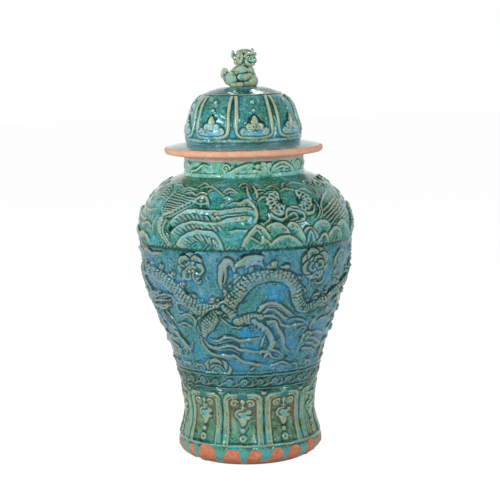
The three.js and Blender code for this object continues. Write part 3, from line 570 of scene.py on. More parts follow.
def belly_clouds(c):
    """Flowers, clouds and flames in the ground round the dragon"""
    # Lotus cloud over the dragon's neck: outer petals round a ring of beads
    c.button(-30, 317, 17, 2.2, wide=1.1)
    c.bloom(-30, 317, 22, 7, 4.2, turn=12, size=0.42, face=0.5)
    c.button(-30, 317, 10.2, 2.6, clear=1.0)
    for k in range(7):
        x, y = 7.4 * math.cos(k * math.tau / 7), 7.4 * math.sin(k * math.tau / 7)
        c.button(*c.place(-30, 317, x, y), 3.2, 4.2)
    c.curl(-30, 317, 3.4, 1.1, 90, 1.2, 4.4, base=0)
    c.ridge([(-29, 306), (-28.6, 298), (-26.4, 292), (-24.6, 296)], [2.6, 2.6, 2.2, 1.2], 3.0, lean=0.3,
            clear=0.8)
    c.curl(-35.5, 297.5, 3.4, 1.1, 0, 1.6, 2.6)
    # Hook cloud: a bent blade and a leaf
    c.ridge([(-13.8, 284), (-13.8, 298), (-13.2, 310), (-11.6, 321), (-8.6, 326.5), (-6.4, 320),
             (-6.2, 312)], [1.4, 3.2, 4.6, 6.4, 6.6, 4.2, 2], 3.4, crown=4, clear=1)
    c.ridge([(-10.6, 316), (-10.8, 304), (-12.2, 292)], [1.8, 2.2, 0.8], 3.9, lean=0.3)
    c.ridge([(-5, 320), (-1.6, 326), (3, 329.5), (7, 331)], [3, 7, 8, 4.5], 3.4, crown=4, clear=1)
    c.ridge([(-4.6, 325), (0, 331.5), (6, 334.5), (9.4, 331)], [1, 1.8, 1.8, 0.8], 4.6, lean=0.3)
    c.ridge([(0, 318), (3.6, 323), (7.6, 322), (9, 316)], [1.6, 3.4, 3.2, 1.2], 3.4, crown=3)
    c.comb([(-3.6, 321), (0, 325), (5, 327), (9, 328)], 6, 5.5, -50, 1.0, 4.4)
    c.stroke(c.rust_and_shade, [(-3, 320), (2, 327), (8, 330)], 4, 0.34)
    c.stroke(c.rust_and_shade, [(-13, 300), (-11, 316), (-8, 325)], 3, 0.22)
    # Peony cloud over the tail
    c.button(38.5, 317, 18, 2.2, wide=1.25)
    c.bloom(39, 317, 25, 8, 4.2, turn=0, size=0.4, face=0.5)
    c.bloom(39.5, 315, 14.5, 5, 4.6, turn=30, size=0.5, face=0.4, rim=1.5)
    c.button(39.5, 314, 4, 4.6, hollow=1.6)
    c.curl(42.5, 300, 5, 1.3, 180, 2.0, 3.2, hand=-1)
    c.curl(38.6, 296, 4.4, 1.3, 90, 1.8, 3, tail=[(37, 284), (36, 291), (37, 297)])
    c.ridge([(40, 290), (42, 284), (46, 287), (47, 296)], [1.4, 2.6, 1.2], 2.8)
    # Curls behind the hair, the low cloud and the bits between
    c.lip([(54.2, 296), (56, 290), (58.4, 289), (61, 286), (60, 276), (57.6, 268), (58.6, 262)],
          [1.4, 3.4, 3.6, 1.6], 7, 1, face=0.35)
    c.curl(57.6, 281, 5.4, 1.3, 120, 1.6, 3.2, hand=-1)
    c.curl(57, 297, 4.4, 1.2, 200, 1.6, 3, hand=-1)
    c.lip([(54.4, 309), (54.2, 318), (57, 327), (60.6, 331), (64.6, 327), (67, 316), (69, 305)],
          [2, 3.6, 3.6, 2], 10, face=0.35, rim=2)
    c.curl(60, 318, 5.6, 1.2, 200, 1.6, 3.4, hand=-1)
    c.lip([(38.2, 190), (38.6, 200), (41.2, 207.5), (44.6, 208), (47, 202), (47.2, 194)], [2, 3.6, 3.8, 2.2],
          9, face=0.42, rim=2.1)
    c.curl(43, 198, 4.4, 1.2, 100, 1.6, 3.6, hand=-1)
    c.lips([[(46, 198), (50, 197), (55, 192), (61, 185)], [(43.5, 191), (48, 189.5), (53, 185), (57, 180)],
            [(41, 181), (45, 182.5), (50, 179.5), (56, 175)], [(47, 206), (53, 206), (60, 200)]],
           [1.4, 3.2, 3, 1.2], 6, rim=1.9)
    c.curl(45, 226, 3.4, 1.2, 90, 1.4, 3, hand=-1, tail=[(44.8, 211), (43.8, 216), (44, 222)])
    c.curl(57, 238, 5, 1.2, 160, 1.6, 3, hand=-1)
    c.lip([(50, 222), (54, 227.5), (59, 226), (65, 231)], [1.4, 3, 1.4], 6, rim=1.9)
    c.lip([(33.6, 213), (37, 218.5), (40.4, 214.5), (39, 207)], [1.4, 3, 1.4], 5)
    c.lip([(40.4, 262), (41.6, 268), (44, 270), (46.4, 266)], [1.6, 3.2, 1.6], 5, face=0.35)
    c.curl(43.4, 259, 4, 1.2, 90, 1.4, 3)
    c.curl(37, 258, 3.4, 1.1, 0, 1.3, 2.8, hand=-1)
    c.lip([(47.6, 262), (51, 266.5), (55.6, 265)], [1.6, 3, 1.4], 5, face=0.35)
    c.lip([(46.6, 242), (49.6, 248.5), (53.4, 247)], [1.6, 3, 1.4], 5, face=0.35)
    # Feathery cloud at the far left and the flame tips under it
    c.lip([(-73, 327), (-68, 335), (-63.6, 337.5), (-58, 333.5), (-49, 335)], [1.4, 3.4, 3.4, 1.2], 8,
          face=0.35, rim=2)
    c.lip([(-86, 328), (-80, 336), (-73, 333)], [1.6, 3.4, 1.4], 7, face=0.35, rim=2)
    c.curl(-70, 215, 7, 1.3, 60, 1.8, 3.4, hand=-1, tail=[(-62, 198), (-66, 200), (-72, 205)])
    c.lips([[(-72, 193), (-64, 200), (-57, 198), (-50, 203)], [(-74, 181), (-66, 188), (-58, 185)],
            [(-72, 166), (-64, 173), (-56, 170)], [(-88, 205), (-82, 214), (-77, 226), (-78, 240)],
            [(-90, 179), (-84, 187), (-77, 196)], [(66, 204), (71, 211), (77, 208)],
            [(62, 250), (67, 257), (73, 254)], [(66, 184), (72, 190), (79, 186)]], [1.4, 3.4, 3, 1.4], 7,
           face=0.33, rim=2)
    for a, z, radius, hand in ((-58, 176, 5.2, 1), (70, 240, 6, 1), (76, 262, 5, -1), (74, 219, 6, -1),
                               (84, 230, 6, 1), (82, 200, 5.5, 1), (66, 170, 5, 1), (76, 328, 6.5, -1),
                               (86, 278, 5, 1)):
        c.curl(a, z, radius, 1.3, 40 * hand, 1.6, 3.2, hand=hand)


def wave_crests(c):
    """Overlapping scallops along the foot of the belly, as sea foam"""
    low = [(-80, 9, 2), (-66, 8, 2), (-53, 8.5, 2), (-39, 8.5, 2), (22, 9, 2), (36, 8, 2), (50, 8.5, 2),
           (64, 9, 2), (78, 8, 2), (6, 6, 1)]
    c.button(-24.3, 152, 17, 2.0, wide=1.1)
    c.bloom(-24.3, 149.5, 24, 5, 3.9, turn=6, sweep=168, size=0.42, squash=0.95, face=0.5)
    for a, radius, rings in [*low, (-24.2, 8.5, 1)]:
        for k in range(rings):
            t = np.radians(np.linspace(178, 2, 11))
            reach = radius * (1 - 0.24 * k)
            wave = 1 + 0.05 * np.sin(t * 7 + k + a)
            line = list(zip(*c.place(a, 153 + 0.05 * radius, reach * 1.3 * wave * np.cos(t),
                                     reach * 1.15 * wave * np.sin(t))))
            c.lip(line, [1.6, 3.2, 3.4, 3.2, 1.6], 4.5, face=0.4, rim=1.5)
    c.lip([(12, 156), (17, 160), (22, 164), (27, 163.5), (33, 159)], [1.4, 3, 1.4], 6)
    c.ring(149, 0.9, 0.9)


# Ornament of the shoulder

def phoenix(c):
    """The phoenix on the left of the shoulder, its wing raised and its plumes trailing to the right"""
    # Upper feathers, the fork and the far feathers
    c.lips([[(-31, 430), (-24, 432), (-18, 428), (-11.5, 420)], [(-13, 417.5), (-10, 419), (-6.5, 415.5)],
            [(-47, 427), (-40, 430), (-32, 429)], [(-42, 421), (-36, 424.5), (-30, 420)],
            [(-60, 428), (-53, 432), (-47, 431)]], [1.2, 2.8, 2.4, 1], 5, rim=1.6)
    c.ridge([(1.8, 431), (3, 419), (6, 411)], [1.2, 1.6, 1], 3)
    c.ridge([(6, 432), (7.6, 423), (7.8, 412)], [1.2, 1.8, 1], 3)
    for k in range(5):
        c.lip([(-53.5 - 0.6 * k, 412 + 3.6 * k), (-60, 415 + 3.6 * k), (-69, 411 + 3.4 * k)][::-1],
              [1.4, 2.6, 1.6], 4)
    c.lips([[(-82, 402), (-74, 397), (-66, 395), (-59, 399)], [(-84, 388), (-76, 383), (-67, 382)],
            [(-70, 374), (-64, 378), (-58, 373)], [(-88, 374), (-82, 378), (-76, 373)]], [1.4, 3, 1.6], 7,
           face=0.33, rim=1.9)
    # Tail curve at the right end of the plumes
    c.lip([(-9, 409), (-6.5, 412), (-2.5, 411.5), (1.5, 415.5), (4.4, 411), (6.6, 403), (7, 393), (5.6, 383),
           (2.4, 371)], [1.4, 3, 3.4, 3.4, 3, 1.4], 13, face=0.36, rim=1.9)
    # Tail plumes: broad bands with slanted barbs, the lower one over the next
    plumes = [
        ([(-43.5, 381), (-40, 391), (-35, 398), (-29, 401.5), (-22, 400.5), (-14, 400), (-7, 403),
          (0, 404.5), (4, 403)], 13),
        ([(-41.5, 367), (-38.6, 374), (-34, 381), (-28, 384.5), (-22, 384), (-15, 383.5), (-9, 388.5),
          (-2, 392), (4, 391)], 13),
        ([(-38, 350), (-36, 358), (-32, 366), (-27, 371.5), (-21, 372), (-16, 369), (-13, 359),
          (-11.6, 350)], 17),
    ]
    barbs = [
        [(-41, 384), (-35, 391), (-29, 394), (-22, 392), (-13, 392)],
        [(-39, 369), (-34, 375), (-28, 378), (-21, 377.5), (-12, 377)],
        [(-34, 356), (-29, 361), (-24, 363), (-18, 360), (-13.5, 354)],
    ]
    for (line, fall), teeth in zip(plumes, barbs):
        c.lip(line, [2.4, 3.6, 3.6, 3.2, 2.4], fall, face=0.5, rim=1.8, cut=0.9)
        c.comb(teeth, 10, [9, 11, 9], -42, 1.6, 4.6, curve=-14)
    c.ridges([[(-16, 394.5), (-9, 397), (-1, 400), (5, 398)], [(-12, 382), (-5, 386), (2, 388.5)],
              [(-17, 389), (-9, 392.8), (0, 395)]], [1.2, 1.7, 1], 3.2, lean=0.3)
    c.lip([(-8, 371), (-4, 373), (2, 372.6)], [1.4, 2.6, 1.2], 12, face=0.4)
    # Breast and neck, bent back to a crested head
    c.scaly([(-46.5, 390), (-50.5, 383), (-49.5, 371), (-46, 360), (-43, 350)], [4.5, 8, 7.5, 6, 4], 4, 4.8)
    c.lip([(-47.5, 392), (-46.4, 382), (-47.4, 372), (-45.6, 362), (-42.5, 351)], [2.8, 4, 4, 2.4], 5,
          face=0.5)
    c.lip([(-57.5, 366), (-57.4, 378), (-54, 390)], [1.6, 3.2, 2], 6, face=0.4)
    c.lip([(-32, 409), (-30, 415.5), (-26.6, 419.5), (-23, 416.5), (-20.6, 408)], [3, 4, 4, 1.6], 7,
          face=0.5, rim=1.6)
    c.button(-26.2, 412.4, 2.6, 4.6, wide=1.2)
    c.ridge([(-29, 410), (-25.6, 408.6), (-22, 410)], [1, 1.5, 0.8], 3.6)
    c.ridge([(-31, 420), (-28, 424), (-24, 422)], [1, 1.7, 0.8], 2.8)
    # Wing: ribs of long feathers that end in a beaded leading edge
    lead = [(-29.5, 411.5), (-34, 405), (-38.5, 399), (-42.5, 394), (-46.5, 389.5)]
    back = [(-50, 421), (-51.5, 413), (-52.5, 405), (-53, 398), (-52.5, 390)]
    c.between([(-30, 415), (-34, 408), (-38.5, 402), (-43, 396), (-46.5, 391.5)], back, 10, [1.7, 1.35, 1.0],
              3.4)
    edge = smooth_line(lead)
    for t in np.linspace(0, 1, 10):
        a, z = edge[int(t * (len(edge) - 1))]
        c.button(a, z, 2.4, 4.0)
        c.button(a - 2.6, z + 1.4, 2.0, 3.7)
    c.lip([(-30.5, 408.5), (-36, 400), (-42, 392), (-48, 386.5)], [1.6, 3, 2.6, 1.6], 4, face=0.4, cut=1.0)
    c.lip([(-51, 389), (-54, 400), (-53.5, 412), (-50.5, 424)], [1.6, 3.2, 3.2, 1.6], 3, face=0.4)
    # Second wing, at the right
    for k in range(8):
        c.ridge([(46.5 + 1.0 * k, 391 - 5 * k), (55 + k, 399 - 4.4 * k), (68 + k, 409 - 4.6 * k)],
                [1.2, 1.8, 1.0], 2.4)
    c.lip([(43, 381), (46.4, 391), (48, 402), (53, 411), (61, 417)], [1.6, 3.4, 3.4, 1.6], 4, face=0.4)
    c.scaly([(76, 356), (80, 370), (84, 384), (90, 392)], [4, 7, 7, 4], 3.6, 4.8)


def peony(c):
    """Two peonies on the right of the shoulder, their leaves and the wisps over them"""
    c.lips([[(11, 419), (16, 424), (22, 421)], [(23, 425), (29, 427.5), (35, 424)],
            [(36, 425), (41, 426), (46, 419)], [(13, 428), (18, 431), (24, 428.5)],
            [(30, 432), (38, 434), (46, 430)], [(7.5, 414), (11, 418), (15, 418)]], [1.2, 2.8, 1.4], 5,
           rim=1.7)
    # Each flower is a fan of curled petals that spring from a deep middle, away from the other flower
    for a, z, first, last, hand in ((21, 410, 75, 285, 1), (34, 410, 105, -105, -1)):
        for radius, count, height in ((20, 8, 3.4), (11, 5, 4.2)):
            for k in range(count):
                at = math.radians(first + (last - first) * (k + 0.5) / count)
                turn = np.radians([0, 4, 9, 20, 38]) * hand
                reach = radius * np.array([0.25, 0.6, 0.9, 1.0, 0.86])
                line = list(zip(*c.place(a, z, reach * np.cos(at + turn), reach * np.sin(at + turn) * 0.92)))
                c.ridge(line, [0.9, 1.6, 2.2, 1.5], [height * 0.6, height, height * 1.15, height * 0.8],
                        lean=0.2 * hand)
    c.ridges([[(15, 398), (18, 393), (22, 395), (23.5, 401)], [(24, 399), (27.5, 402), (31, 399), (32, 393)],
              [(33, 396), (36, 391), (40, 392), (41.5, 397)]], [2.0, 2.9, 2.6, 1.6], 4.2, lean=0.3)
    c.lip([(14.5, 396), (16, 390.5), (19.5, 386.5), (22, 389), (22.4, 396), (24.6, 400.5), (28, 398.5),
           (31, 396.5), (34, 392), (33.6, 385), (31, 382)], [2, 3.8, 3.8, 2.2], 6, face=0.45, rim=1.8)
    c.lip([(24, 391), (26.4, 395), (29, 392.5), (29.4, 386)], [2, 4, 2], 4, face=0.45)
    c.ridge([(10.5, 382), (13.5, 389), (12.8, 396)], [1, 1.8, 1], 2.8)
    c.ridges([[(21.5, 378), (24.5, 383), (29, 386)], [(23, 376), (27.5, 380.5), (33, 382)]], [0.8, 1.4, 0.7],
             2.8)
    c.lip([(44, 408), (45.4, 398), (43.6, 388), (40, 381)], [1.4, 2.8, 1.4], 4, 1)


def neck_clouds(c):
    """Low clouds that drift round the shoulder just under the neck"""
    for k in range(18):
        a, z = -90 + 10 * k, 429 + 4.5 * math.sin(2.3 * k)
        c.lip([(a - 4.6, z - 3), (a - 2.4, z + 1.6), (a + 1.4, z + 2.4), (a + 4.6, z - 1)], [1.2, 2.6, 1.2],
              5, face=0.35, rim=1.6)
        c.ridge([(a - 1.6, z - 3.4), (a + 1.6, z - 1.8), (a + 4.4, z - 4.4)], [0.7, 1.3, 0.6], 1.9)


def rocks(c):
    """Overlapping mounds at the bottom of the shoulder, and the stitches over the seam"""
    mounds = [
        ([(-92, 350), (-88, 360), (-83, 367), (-78, 362), (-74, 351)], 12),
        ([(-79, 350), (-75, 357), (-70, 362), (-64, 360), (-60, 351)], 10),
        ([(54, 364), (58, 373), (63, 374), (68, 364), (72, 351)], 13),
        ([(36.5, 366), (40, 376.5), (44.4, 379.5), (48.4, 375), (51, 362)], 14),
        ([(47.5, 352), (49.6, 362), (53.4, 367.5), (57.4, 363), (60.6, 352)], 12),
        ([(31, 364), (33.4, 371.5), (36, 371), (39, 362), (41.5, 350)], 10),
        ([(21, 372), (23, 378.5), (25.6, 381), (28.4, 375), (30.6, 365), (33, 350)], 14),
        ([(8, 352), (9.2, 366), (11, 377), (14.6, 381), (19, 379.5), (22.2, 370), (25.4, 352)], 14),
        ([(-2, 350), (0.4, 362), (3, 373), (6, 380.5), (9, 376.5), (11.4, 368), (12.6, 362)], 9),
        ([(12, 350), (16, 358.5), (21, 362.5), (25.4, 359), (29.4, 350)], 10),
        ([(33, 350), (34, 361), (35.4, 367.5), (37, 360), (38.4, 350)], 6),
        ([(40.4, 350), (42.6, 358), (45.6, 360), (48.4, 350)], 7),
    ]
    for line, fall in mounds:
        c.lip(line, [2, 3.6, 3.8, 3.6, 2], fall, face=0.45, rim=1.8, cut=0.9)
    c.ridges([[(12, 373), (14.6, 376), (17.6, 374)], [(4.4, 370), (6.4, 373), (8.2, 366)],
              [(24, 371), (26, 373), (27.6, 366)], [(42, 371), (44.6, 373), (47, 368)],
              [(10.4, 358), (12.4, 352)], [(2, 364), (5, 358), (8, 352)]], [0.8, 1.4, 0.8], 2.8)
    # The row of stitches over the groove
    for k in range(72):
        c.ridge([(-90 + 2.5 * k, 344.2), (-89 + 2.5 * k, 348)], [0.8, 1.1, 0.8], 1.2)


def filler(c, low, high, tries, seed, size=6.0, height=1.5, calm=()):
    """Small low commas and curls in the ground that is still bare, but not in calm boxes of the wall"""
    rng = np.random.default_rng(seed)
    for _ in range(tries):
        a, z, turn, kind = rng.uniform(-90, 90), rng.uniform(low, high), rng.uniform(0, 360), rng.uniform()
        per = float(np.interp(z, c.z, c.per_degree))
        (i0, i1), (j0, j1) = c.window(z, z, a, a, size * 0.8)
        if c.h[i0:i1, np.arange(j0, j1) % c.columns].max() > 0.3 or any(
                a0 < a < a1 and z0 < z < z1 for a0, a1, z0, z1 in calm):
            continue
        if kind < 0.4:
            c.curl(a, z, size * 0.42, 1.25, turn, 1.2, height, hand=1 if kind < 0.2 else -1, base=0.4)
            continue
        t = np.radians(turn + np.array([0, 35, 80, 130]))
        reach = size * 0.62 * np.array([1, 0.85, 0.75, 0.9])
        c.ridge(list(zip(a + reach * np.cos(t) / per, z + reach * np.sin(t))), [0.7, 1.5, 1.2, 0.5], height,
                lean=0.2)


def neck_ornament(c):
    """A scroll and a flower of beads on the front of the neck, and clouds round the rest"""
    c.curl(-17.3, 456.5, 7.4, 1.6, -60, 1.5, 1.9, base=0.2)
    c.lip([(-16, 449.5), (-11.5, 453.5), (-6, 458.5), (0, 462), (6, 464), (9, 462.5)], [1.2, 2.6, 2.4, 1.0],
          7, face=0.4, rim=1.8)
    c.button(18.5, 455.5, 9.5, 1.2, wide=1.7)
    for a, z, radius in ((10.4, 452.5, 3.4), (13, 459, 4.2), (18.4, 462.3, 4.4), (24, 460.6, 4.2),
                         (27.8, 455.8, 3.8), (24.6, 450.8, 3.6), (19, 455, 4.4), (14.8, 450.2, 3.2)):
        c.button(a, z, radius, 2.4, wide=1.15, hollow=0.7)
    c.stain([(-14, 455, 2.2, 0.7), (-8, 460.5, 2, 0.7), (11.5, 463.5, 1.8, 0.8), (-50, 455, 4, 0.3),
             (48, 455, 4, 0.3)], c.wet)
    c.hue -= 0.25
    c.curl(-66, 456, 7, 1.6, 30, 1.6, 2.1, base=0.3)
    c.ridge([(-60, 450), (-50, 454), (-42, 461), (-34, 459)], [1.3, 1.9, 0.9], 2.0)
    c.lip([(26, 452), (30, 461), (38, 465), (46, 462), (54, 453)], [1.4, 2.4, 1.4], 8, face=0.4)
    c.ridge([(30, 453), (38, 458), (46, 455)], [1.2, 1.9, 0.9], 2.0)
    c.curl(62, 457, 6.4, 1.5, 150, 1.6, 2.0, hand=-1, base=0.3)
    c.ridge([(70, 452), (78, 460), (86, 460), (92, 453)], [1.2, 1.9, 0.9], 1.9)
    c.ring(446.4, 1.2, 0.8)


# Ornament of the dome

def lid_ornament(c):
    """Eight panels with round lower corners, side by side, with a cloud head and two beads in each"""
    pitch = 360 / LID_PANELS
    frame_line = [(20.0, 562), (18.8, 556), (18.2, 540), (18.4, 520), (17.6, 510), (14.5, 504.4), (9, 502.6),
                  (0, 502.2)]
    outline = [(-16.5, 508), (-16, 515), (-11.5, 519.5), (-10.5, 524), (-6, 527.5), (-4.6, 533), (0, 537)]
    for k in range(-1, 5):
        m = LID_PANEL_FIRST + pitch * k
        for side in (1, -1):
            c.ridge(flipped(m, side, frame_line), [3.0, 3.2, 3.2, 2.8, 2.2], 2.2, crown=3)
            c.stroke(c.wet, [(m + side * a * 1.13, z) for a, z in frame_line[:5]], 0.8, 0.5)
        # The cloud head: a heap of lobes with a curl in each, drawn up to a point
        c.ridge([(m - 11, 511.2), (m, 511), (m + 11, 511.2)], [6.0, 6.6, 6.0], 2.7, crown=7)
        c.ridge([(m - 5.6, 519), (m, 519), (m + 5.6, 519)], [5.6, 6.4, 5.6], 2.8, crown=7)
        for side in (1, -1):
            c.curl(m + side * 10.6, 511.4, 5.2, 1.4, 90, 1.2, 3.9, hand=-side, base=0)
            c.curl(m + side * 5.8, 519.4, 4.6, 1.3, 90 + side * 60, 1.2, 4.0, hand=side, base=0)
            c.curl(m + side * 3.8, 508.6, 3.0, 1.1, 90, 0.9, 3.7, hand=side, base=0)
        c.ridge([(m, 521), (m, 526.5), (m, 532.6)], [6.2, 6.0, 3.0], 3.1, crown=6)
        c.curl(m, 526.4, 4.2, 1.2, 90, 1.2, 4.0, base=0)
        c.ridge([(m - 3.4, 514), (m, 517), (m + 3.4, 514)], [1, 1.4, 1], 3.8)
        c.button(m, 510.4, 2.6, 3.8)
        for side in (1, -1):
            c.stroke(c.wet, flipped(m, side, outline), 1.1, 0.75)
        c.stain([(m, 508, 4, 0.8), (m + 9, 513, 3, 0.5), (m - 9, 513, 3, 0.5)])
        c.button(m, 543, 2.9, 3.0, tilt=45)
        c.button(m, 555, 3.2, 3.0)
    c.ring(565.6, 1.6, 1.3)
    c.ring(497.8, 2.8, 1.5)
    for k in range(40):
        c.button(-90 + 4.5 * k, 498 + 0.6 * math.sin(2.3 * k), 2.6, 1.9, wide=1.4)
    c.wet += 0.5 * c.belt(502.0, 1.2) + 0.35 * c.past(566, 3)
    c.rust_and_shade += 0.42 * c.belt(494.2, 1.3)


# Meshes

def ripple(points, size, seed):
    """A smooth field from -1 to 1 over points in space, with swells about size mm apart"""
    rng = np.random.default_rng(seed)
    total = np.zeros(points.shape[:-1])
    for _ in range(18):
        direction = rng.normal(size=3)
        direction *= 2 * np.pi / (size * np.linalg.norm(direction)) * rng.uniform(0.6, 1.4)
        total += np.sin(points @ direction + rng.uniform(0, 2 * np.pi))
    return total / 6


def around(r, z, azimuths):
    """Points at radii and heights, one row each, at each azimuth"""
    a = np.radians(azimuths)[None, :]
    r, z = np.broadcast_arrays(r, z)
    if r.ndim == 1:
        r, z = r[:, None], z[:, None]
    return np.stack([r * np.sin(a), -r * np.cos(a), z + 0 * a], axis=-1)


def turned(name, rings, fields, body, nodes, material, looped, full=True):
    """One closed mesh from rings of points. Looped rings come round to the first again, others start and end
    on the axis. A full turn closes on itself, and a part turn gets a flat cap at each end"""
    count, columns = rings.shape[:2]
    index = np.arange(count * columns).reshape(count, columns)
    reach = np.concatenate([[0], np.cumsum(np.linalg.norm(np.diff(rings[:, 0], axis=0), axis=1))])
    whole = reach[-1] + (np.linalg.norm(rings[0, 0] - rings[-1, 0]) if looped else 0)
    v = np.append(reach, whole) / whole
    wide = columns if full else columns - 1
    j = np.arange(wide)
    right = (j + 1) % columns
    u0, u1 = j / wide, (j + 1) / wide
    middle = (u0 + u1) / 2
    corners, places, sizes = [], [], []
    for i in range(count if looped else count - 1):
        k = (i + 1) % count
        low, high = index[i], index[k]
        v0, v1 = np.full(wide, v[i]), np.full(wide, v[i + 1])
        if not looped and i == 0:
            face = [np.full(wide, low[0]), high[right], high[j]]
            place = [[middle, v0], [u1, v1], [u0, v1]]
        elif not looped and k == count - 1:
            face = [low[j], low[right], np.full(wide, high[0])]
            place = [[u0, v0], [u1, v0], [middle, v1]]
        else:
            face = [low[j], low[right], high[right], high[j]]
            place = [[u0, v0], [u1, v0], [u1, v1], [u0, v1]]
        corners.append(np.stack(face, 1).ravel())
        places.append(np.stack(place, 0).transpose(2, 0, 1).reshape(-1, 2))
        sizes += [len(face)] * wide
    if not full:
        for cap, at in ((index[:, -1], 0.999), (index[::-1, 0], 0.001)):
            corners.append(cap)
            places.append(np.stack([np.full(count, at), np.linspace(0.001, 0.999, count)], 1))
            sizes.append(count)
    corners = np.concatenate(corners)
    used = np.zeros(count * columns, bool)
    used[corners] = True
    new = np.cumsum(used) - 1
    mesh = bpy.data.meshes.new(name)
    fields = {k: f.reshape(-1)[used] for k, f in fields.items()}
    fill_mesh(mesh, rings.reshape(-1, 3)[used], new[corners], np.array(sizes), np.concatenate(places),
              fields)
    piece(name, mesh, body, nodes, material)


def fill_mesh(mesh, points, corners, sizes, places, fields):
    """Gives a mesh its points in mm, its faces, its unwrapped places and the fields that its glaze reads"""
    mesh.vertices.add(len(points))
    mesh.vertices.foreach_set("co", (points * MM).astype(np.float32).ravel())
    mesh.loops.add(len(corners))
    mesh.loops.foreach_set("vertex_index", corners.astype(np.int32))
    mesh.polygons.add(len(sizes))
    mesh.polygons.foreach_set("loop_start", np.concatenate([[0], np.cumsum(sizes)[:-1]]).astype(np.int32))
    mesh.polygons.foreach_set("use_smooth", np.ones(len(sizes), bool))
    mesh.update(calc_edges=True)
    if places is not None:
        layer = mesh.uv_layers.new(name="OFBake")
        layer.uv.foreach_set("vector", places.astype(np.float32).ravel())
    for key, field in fields.items():
        mesh.attributes.new(key, "FLOAT", "POINT").data.foreach_set("value", field.astype(np.float32))
    mesh.validate()
    mesh.set_sharp_from_angle(angle=math.radians(60))


def piece(name, mesh, body, nodes, material):
    """A piece of the jar or the lid in the scene, in place of the frame's nodes"""
    obj = bpy.data.objects.new(name, mesh)
    bpy.context.scene.collection.objects.link(obj)
    mesh.materials.append(material)
    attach(obj, body)
    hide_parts(*nodes)


def wandered(canvas, half_turn, wobble, seed):
    """The clay of a canvas with its lines drawn a little unsteadily, as by hand"""
    reach = [wobble * (1.4 * ripple(half_turn, 28, seed + k) + 0.4 * ripple(half_turn, 12, seed + k + 1))
             for k in (30, 40)]
    rows, columns = canvas.h.shape
    i = np.clip(np.arange(rows)[:, None] + reach[0] / canvas.row_mm, 0, rows - 1.001)
    j = (np.arange(columns)[None, :] + reach[1] / (canvas.per_degree[:, None] * canvas.step)) % columns
    low, left = i.astype(int), j.astype(int) % columns
    right = (left + 1) % columns
    u, v = i - low, j - np.floor(j)
    h = canvas.h
    return ((h[low, left] * (1 - v) + h[low, right] * v) * (1 - u)
            + (h[low + 1, left] * (1 - v) + h[low + 1, right] * v) * u)


def outside(canvas, half, sink, seed, wobble):
    """How far the clay of a canvas stands out, its azimuths and the fields of its glaze: all the way round,
    or for half 0 or 1 with its closing column. sink is how far its top and bottom ends go in under what
    they meet"""
    half_turn = around(canvas.r, canvas.z, 2 * np.arange(canvas.columns) * canvas.step)
    h = canvas.soften(wandered(canvas, half_turn, wobble, seed), SOFTENED)
    uneven = 1 + 0.2 * ripple(half_turn, 34, seed + 3) + 0.14 * wobble * ripple(half_turn, 9, seed + 4)
    h = h * np.clip(uneven, 0.5, 1.4)
    # Glaze that runs down gathers on top of what stands out
    down = max(int(round(RUN_DOWN / canvas.row_mm)), 1)
    gather = canvas.soften(np.clip((np.vstack([h[:down], h[:-down]]) - h) / 1.5, 0, 1), 0.6) + canvas.wet
    fields = {
        "crest": np.clip((h - canvas.soften(h, BROAD_REACH)) / 1.4, -1, 1),
        "fine": np.clip((h - canvas.soften(h, FINE_REACH)) / 0.5, -1, 1),
        "relief": np.clip(h / 4, 0, 1.5), "gather": gather, "hue": canvas.hue, "rust_and_shade": canvas.rust_and_shade,
    }
    fields = {key: np.tile(field, 2) for key, field in fields.items()}
    azimuths = np.arange(2 * canvas.columns) * canvas.step - 90
    base = around(canvas.r, canvas.z, azimuths)
    full = np.tile(h, 2)
    for swell, size, k in ((0.3, 42, 0), (0.13, 11, 1), (0.07, 5.5, 2)):
        full = full + swell * ripple(base, size, seed + k)
    run = np.arange(len(canvas.z)) * canvas.row_mm
    for depth, far in ((sink[0], run), (sink[1], run[-1] - run)):
        fade = np.clip(far / SEAM_FADE, 0, 1)[:, None]
        full = full * fade - depth * (1 - fade)**2
    if half is not None:
        first = half * canvas.columns
        take = (np.arange(canvas.columns + 1) + first) % (2 * canvas.columns)
        full = full[:, take]
        azimuths = np.arange(canvas.columns + 1) * canvas.step - 90 + 180 * half
        fields = {key: field[:, take] for key, field in fields.items()}
    return full, azimuths, fields


def sculpted(name, canvas, under, body, nodes, material, seed, half=None, sink=(0, 0), axis=False,
             before=(), edit=None, clay=1.0, wobble=0.3):
    """A wall with its ornament as one closed mesh. under is the rest of its outline, as [radius, height],
    from the wall's top round to its bottom, and before what leads from the axis to its bottom. edit changes
    the wall before it is made, clay is how bare under is, and wobble how unsteady the hand was"""
    full, azimuths, fields = outside(canvas, half, sink, seed, wobble)
    fields["bare"] = np.zeros_like(full)
    if edit:
        edit(canvas, full, azimuths, fields)
    r = canvas.r[:, None] + full * canvas.normal[0][:, None]
    z = canvas.z[:, None] + full * canvas.normal[1][:, None]
    parts = [(around(r, z, azimuths), None), (around(*np.array(under, float).T, azimuths), clay)]
    if before:
        parts.insert(0, (around(*np.array(before, float).T, azimuths), 1.0))
    grown = {}
    for key, field in fields.items():
        rows = [field if bare is None else np.full(rings.shape[:2], bare if key == "bare" else 0.0)
                for rings, bare in parts]
        grown[key] = np.vstack(rows)
    turned(name, np.vstack([rings for rings, bare in parts]), grown, body, nodes, material, not axis,
           half is None)


# Shader maths

def linear(code):
    """A colour as the eye sees it, as the light that gives it"""
    parts = [int(code[k:k + 2], 16) / 255 for k in (0, 2, 4)]
    return tuple(x / 12.92 if x < 0.04045 else ((x + 0.055) / 1.055)**2.4 for x in parts) + (1.0,)


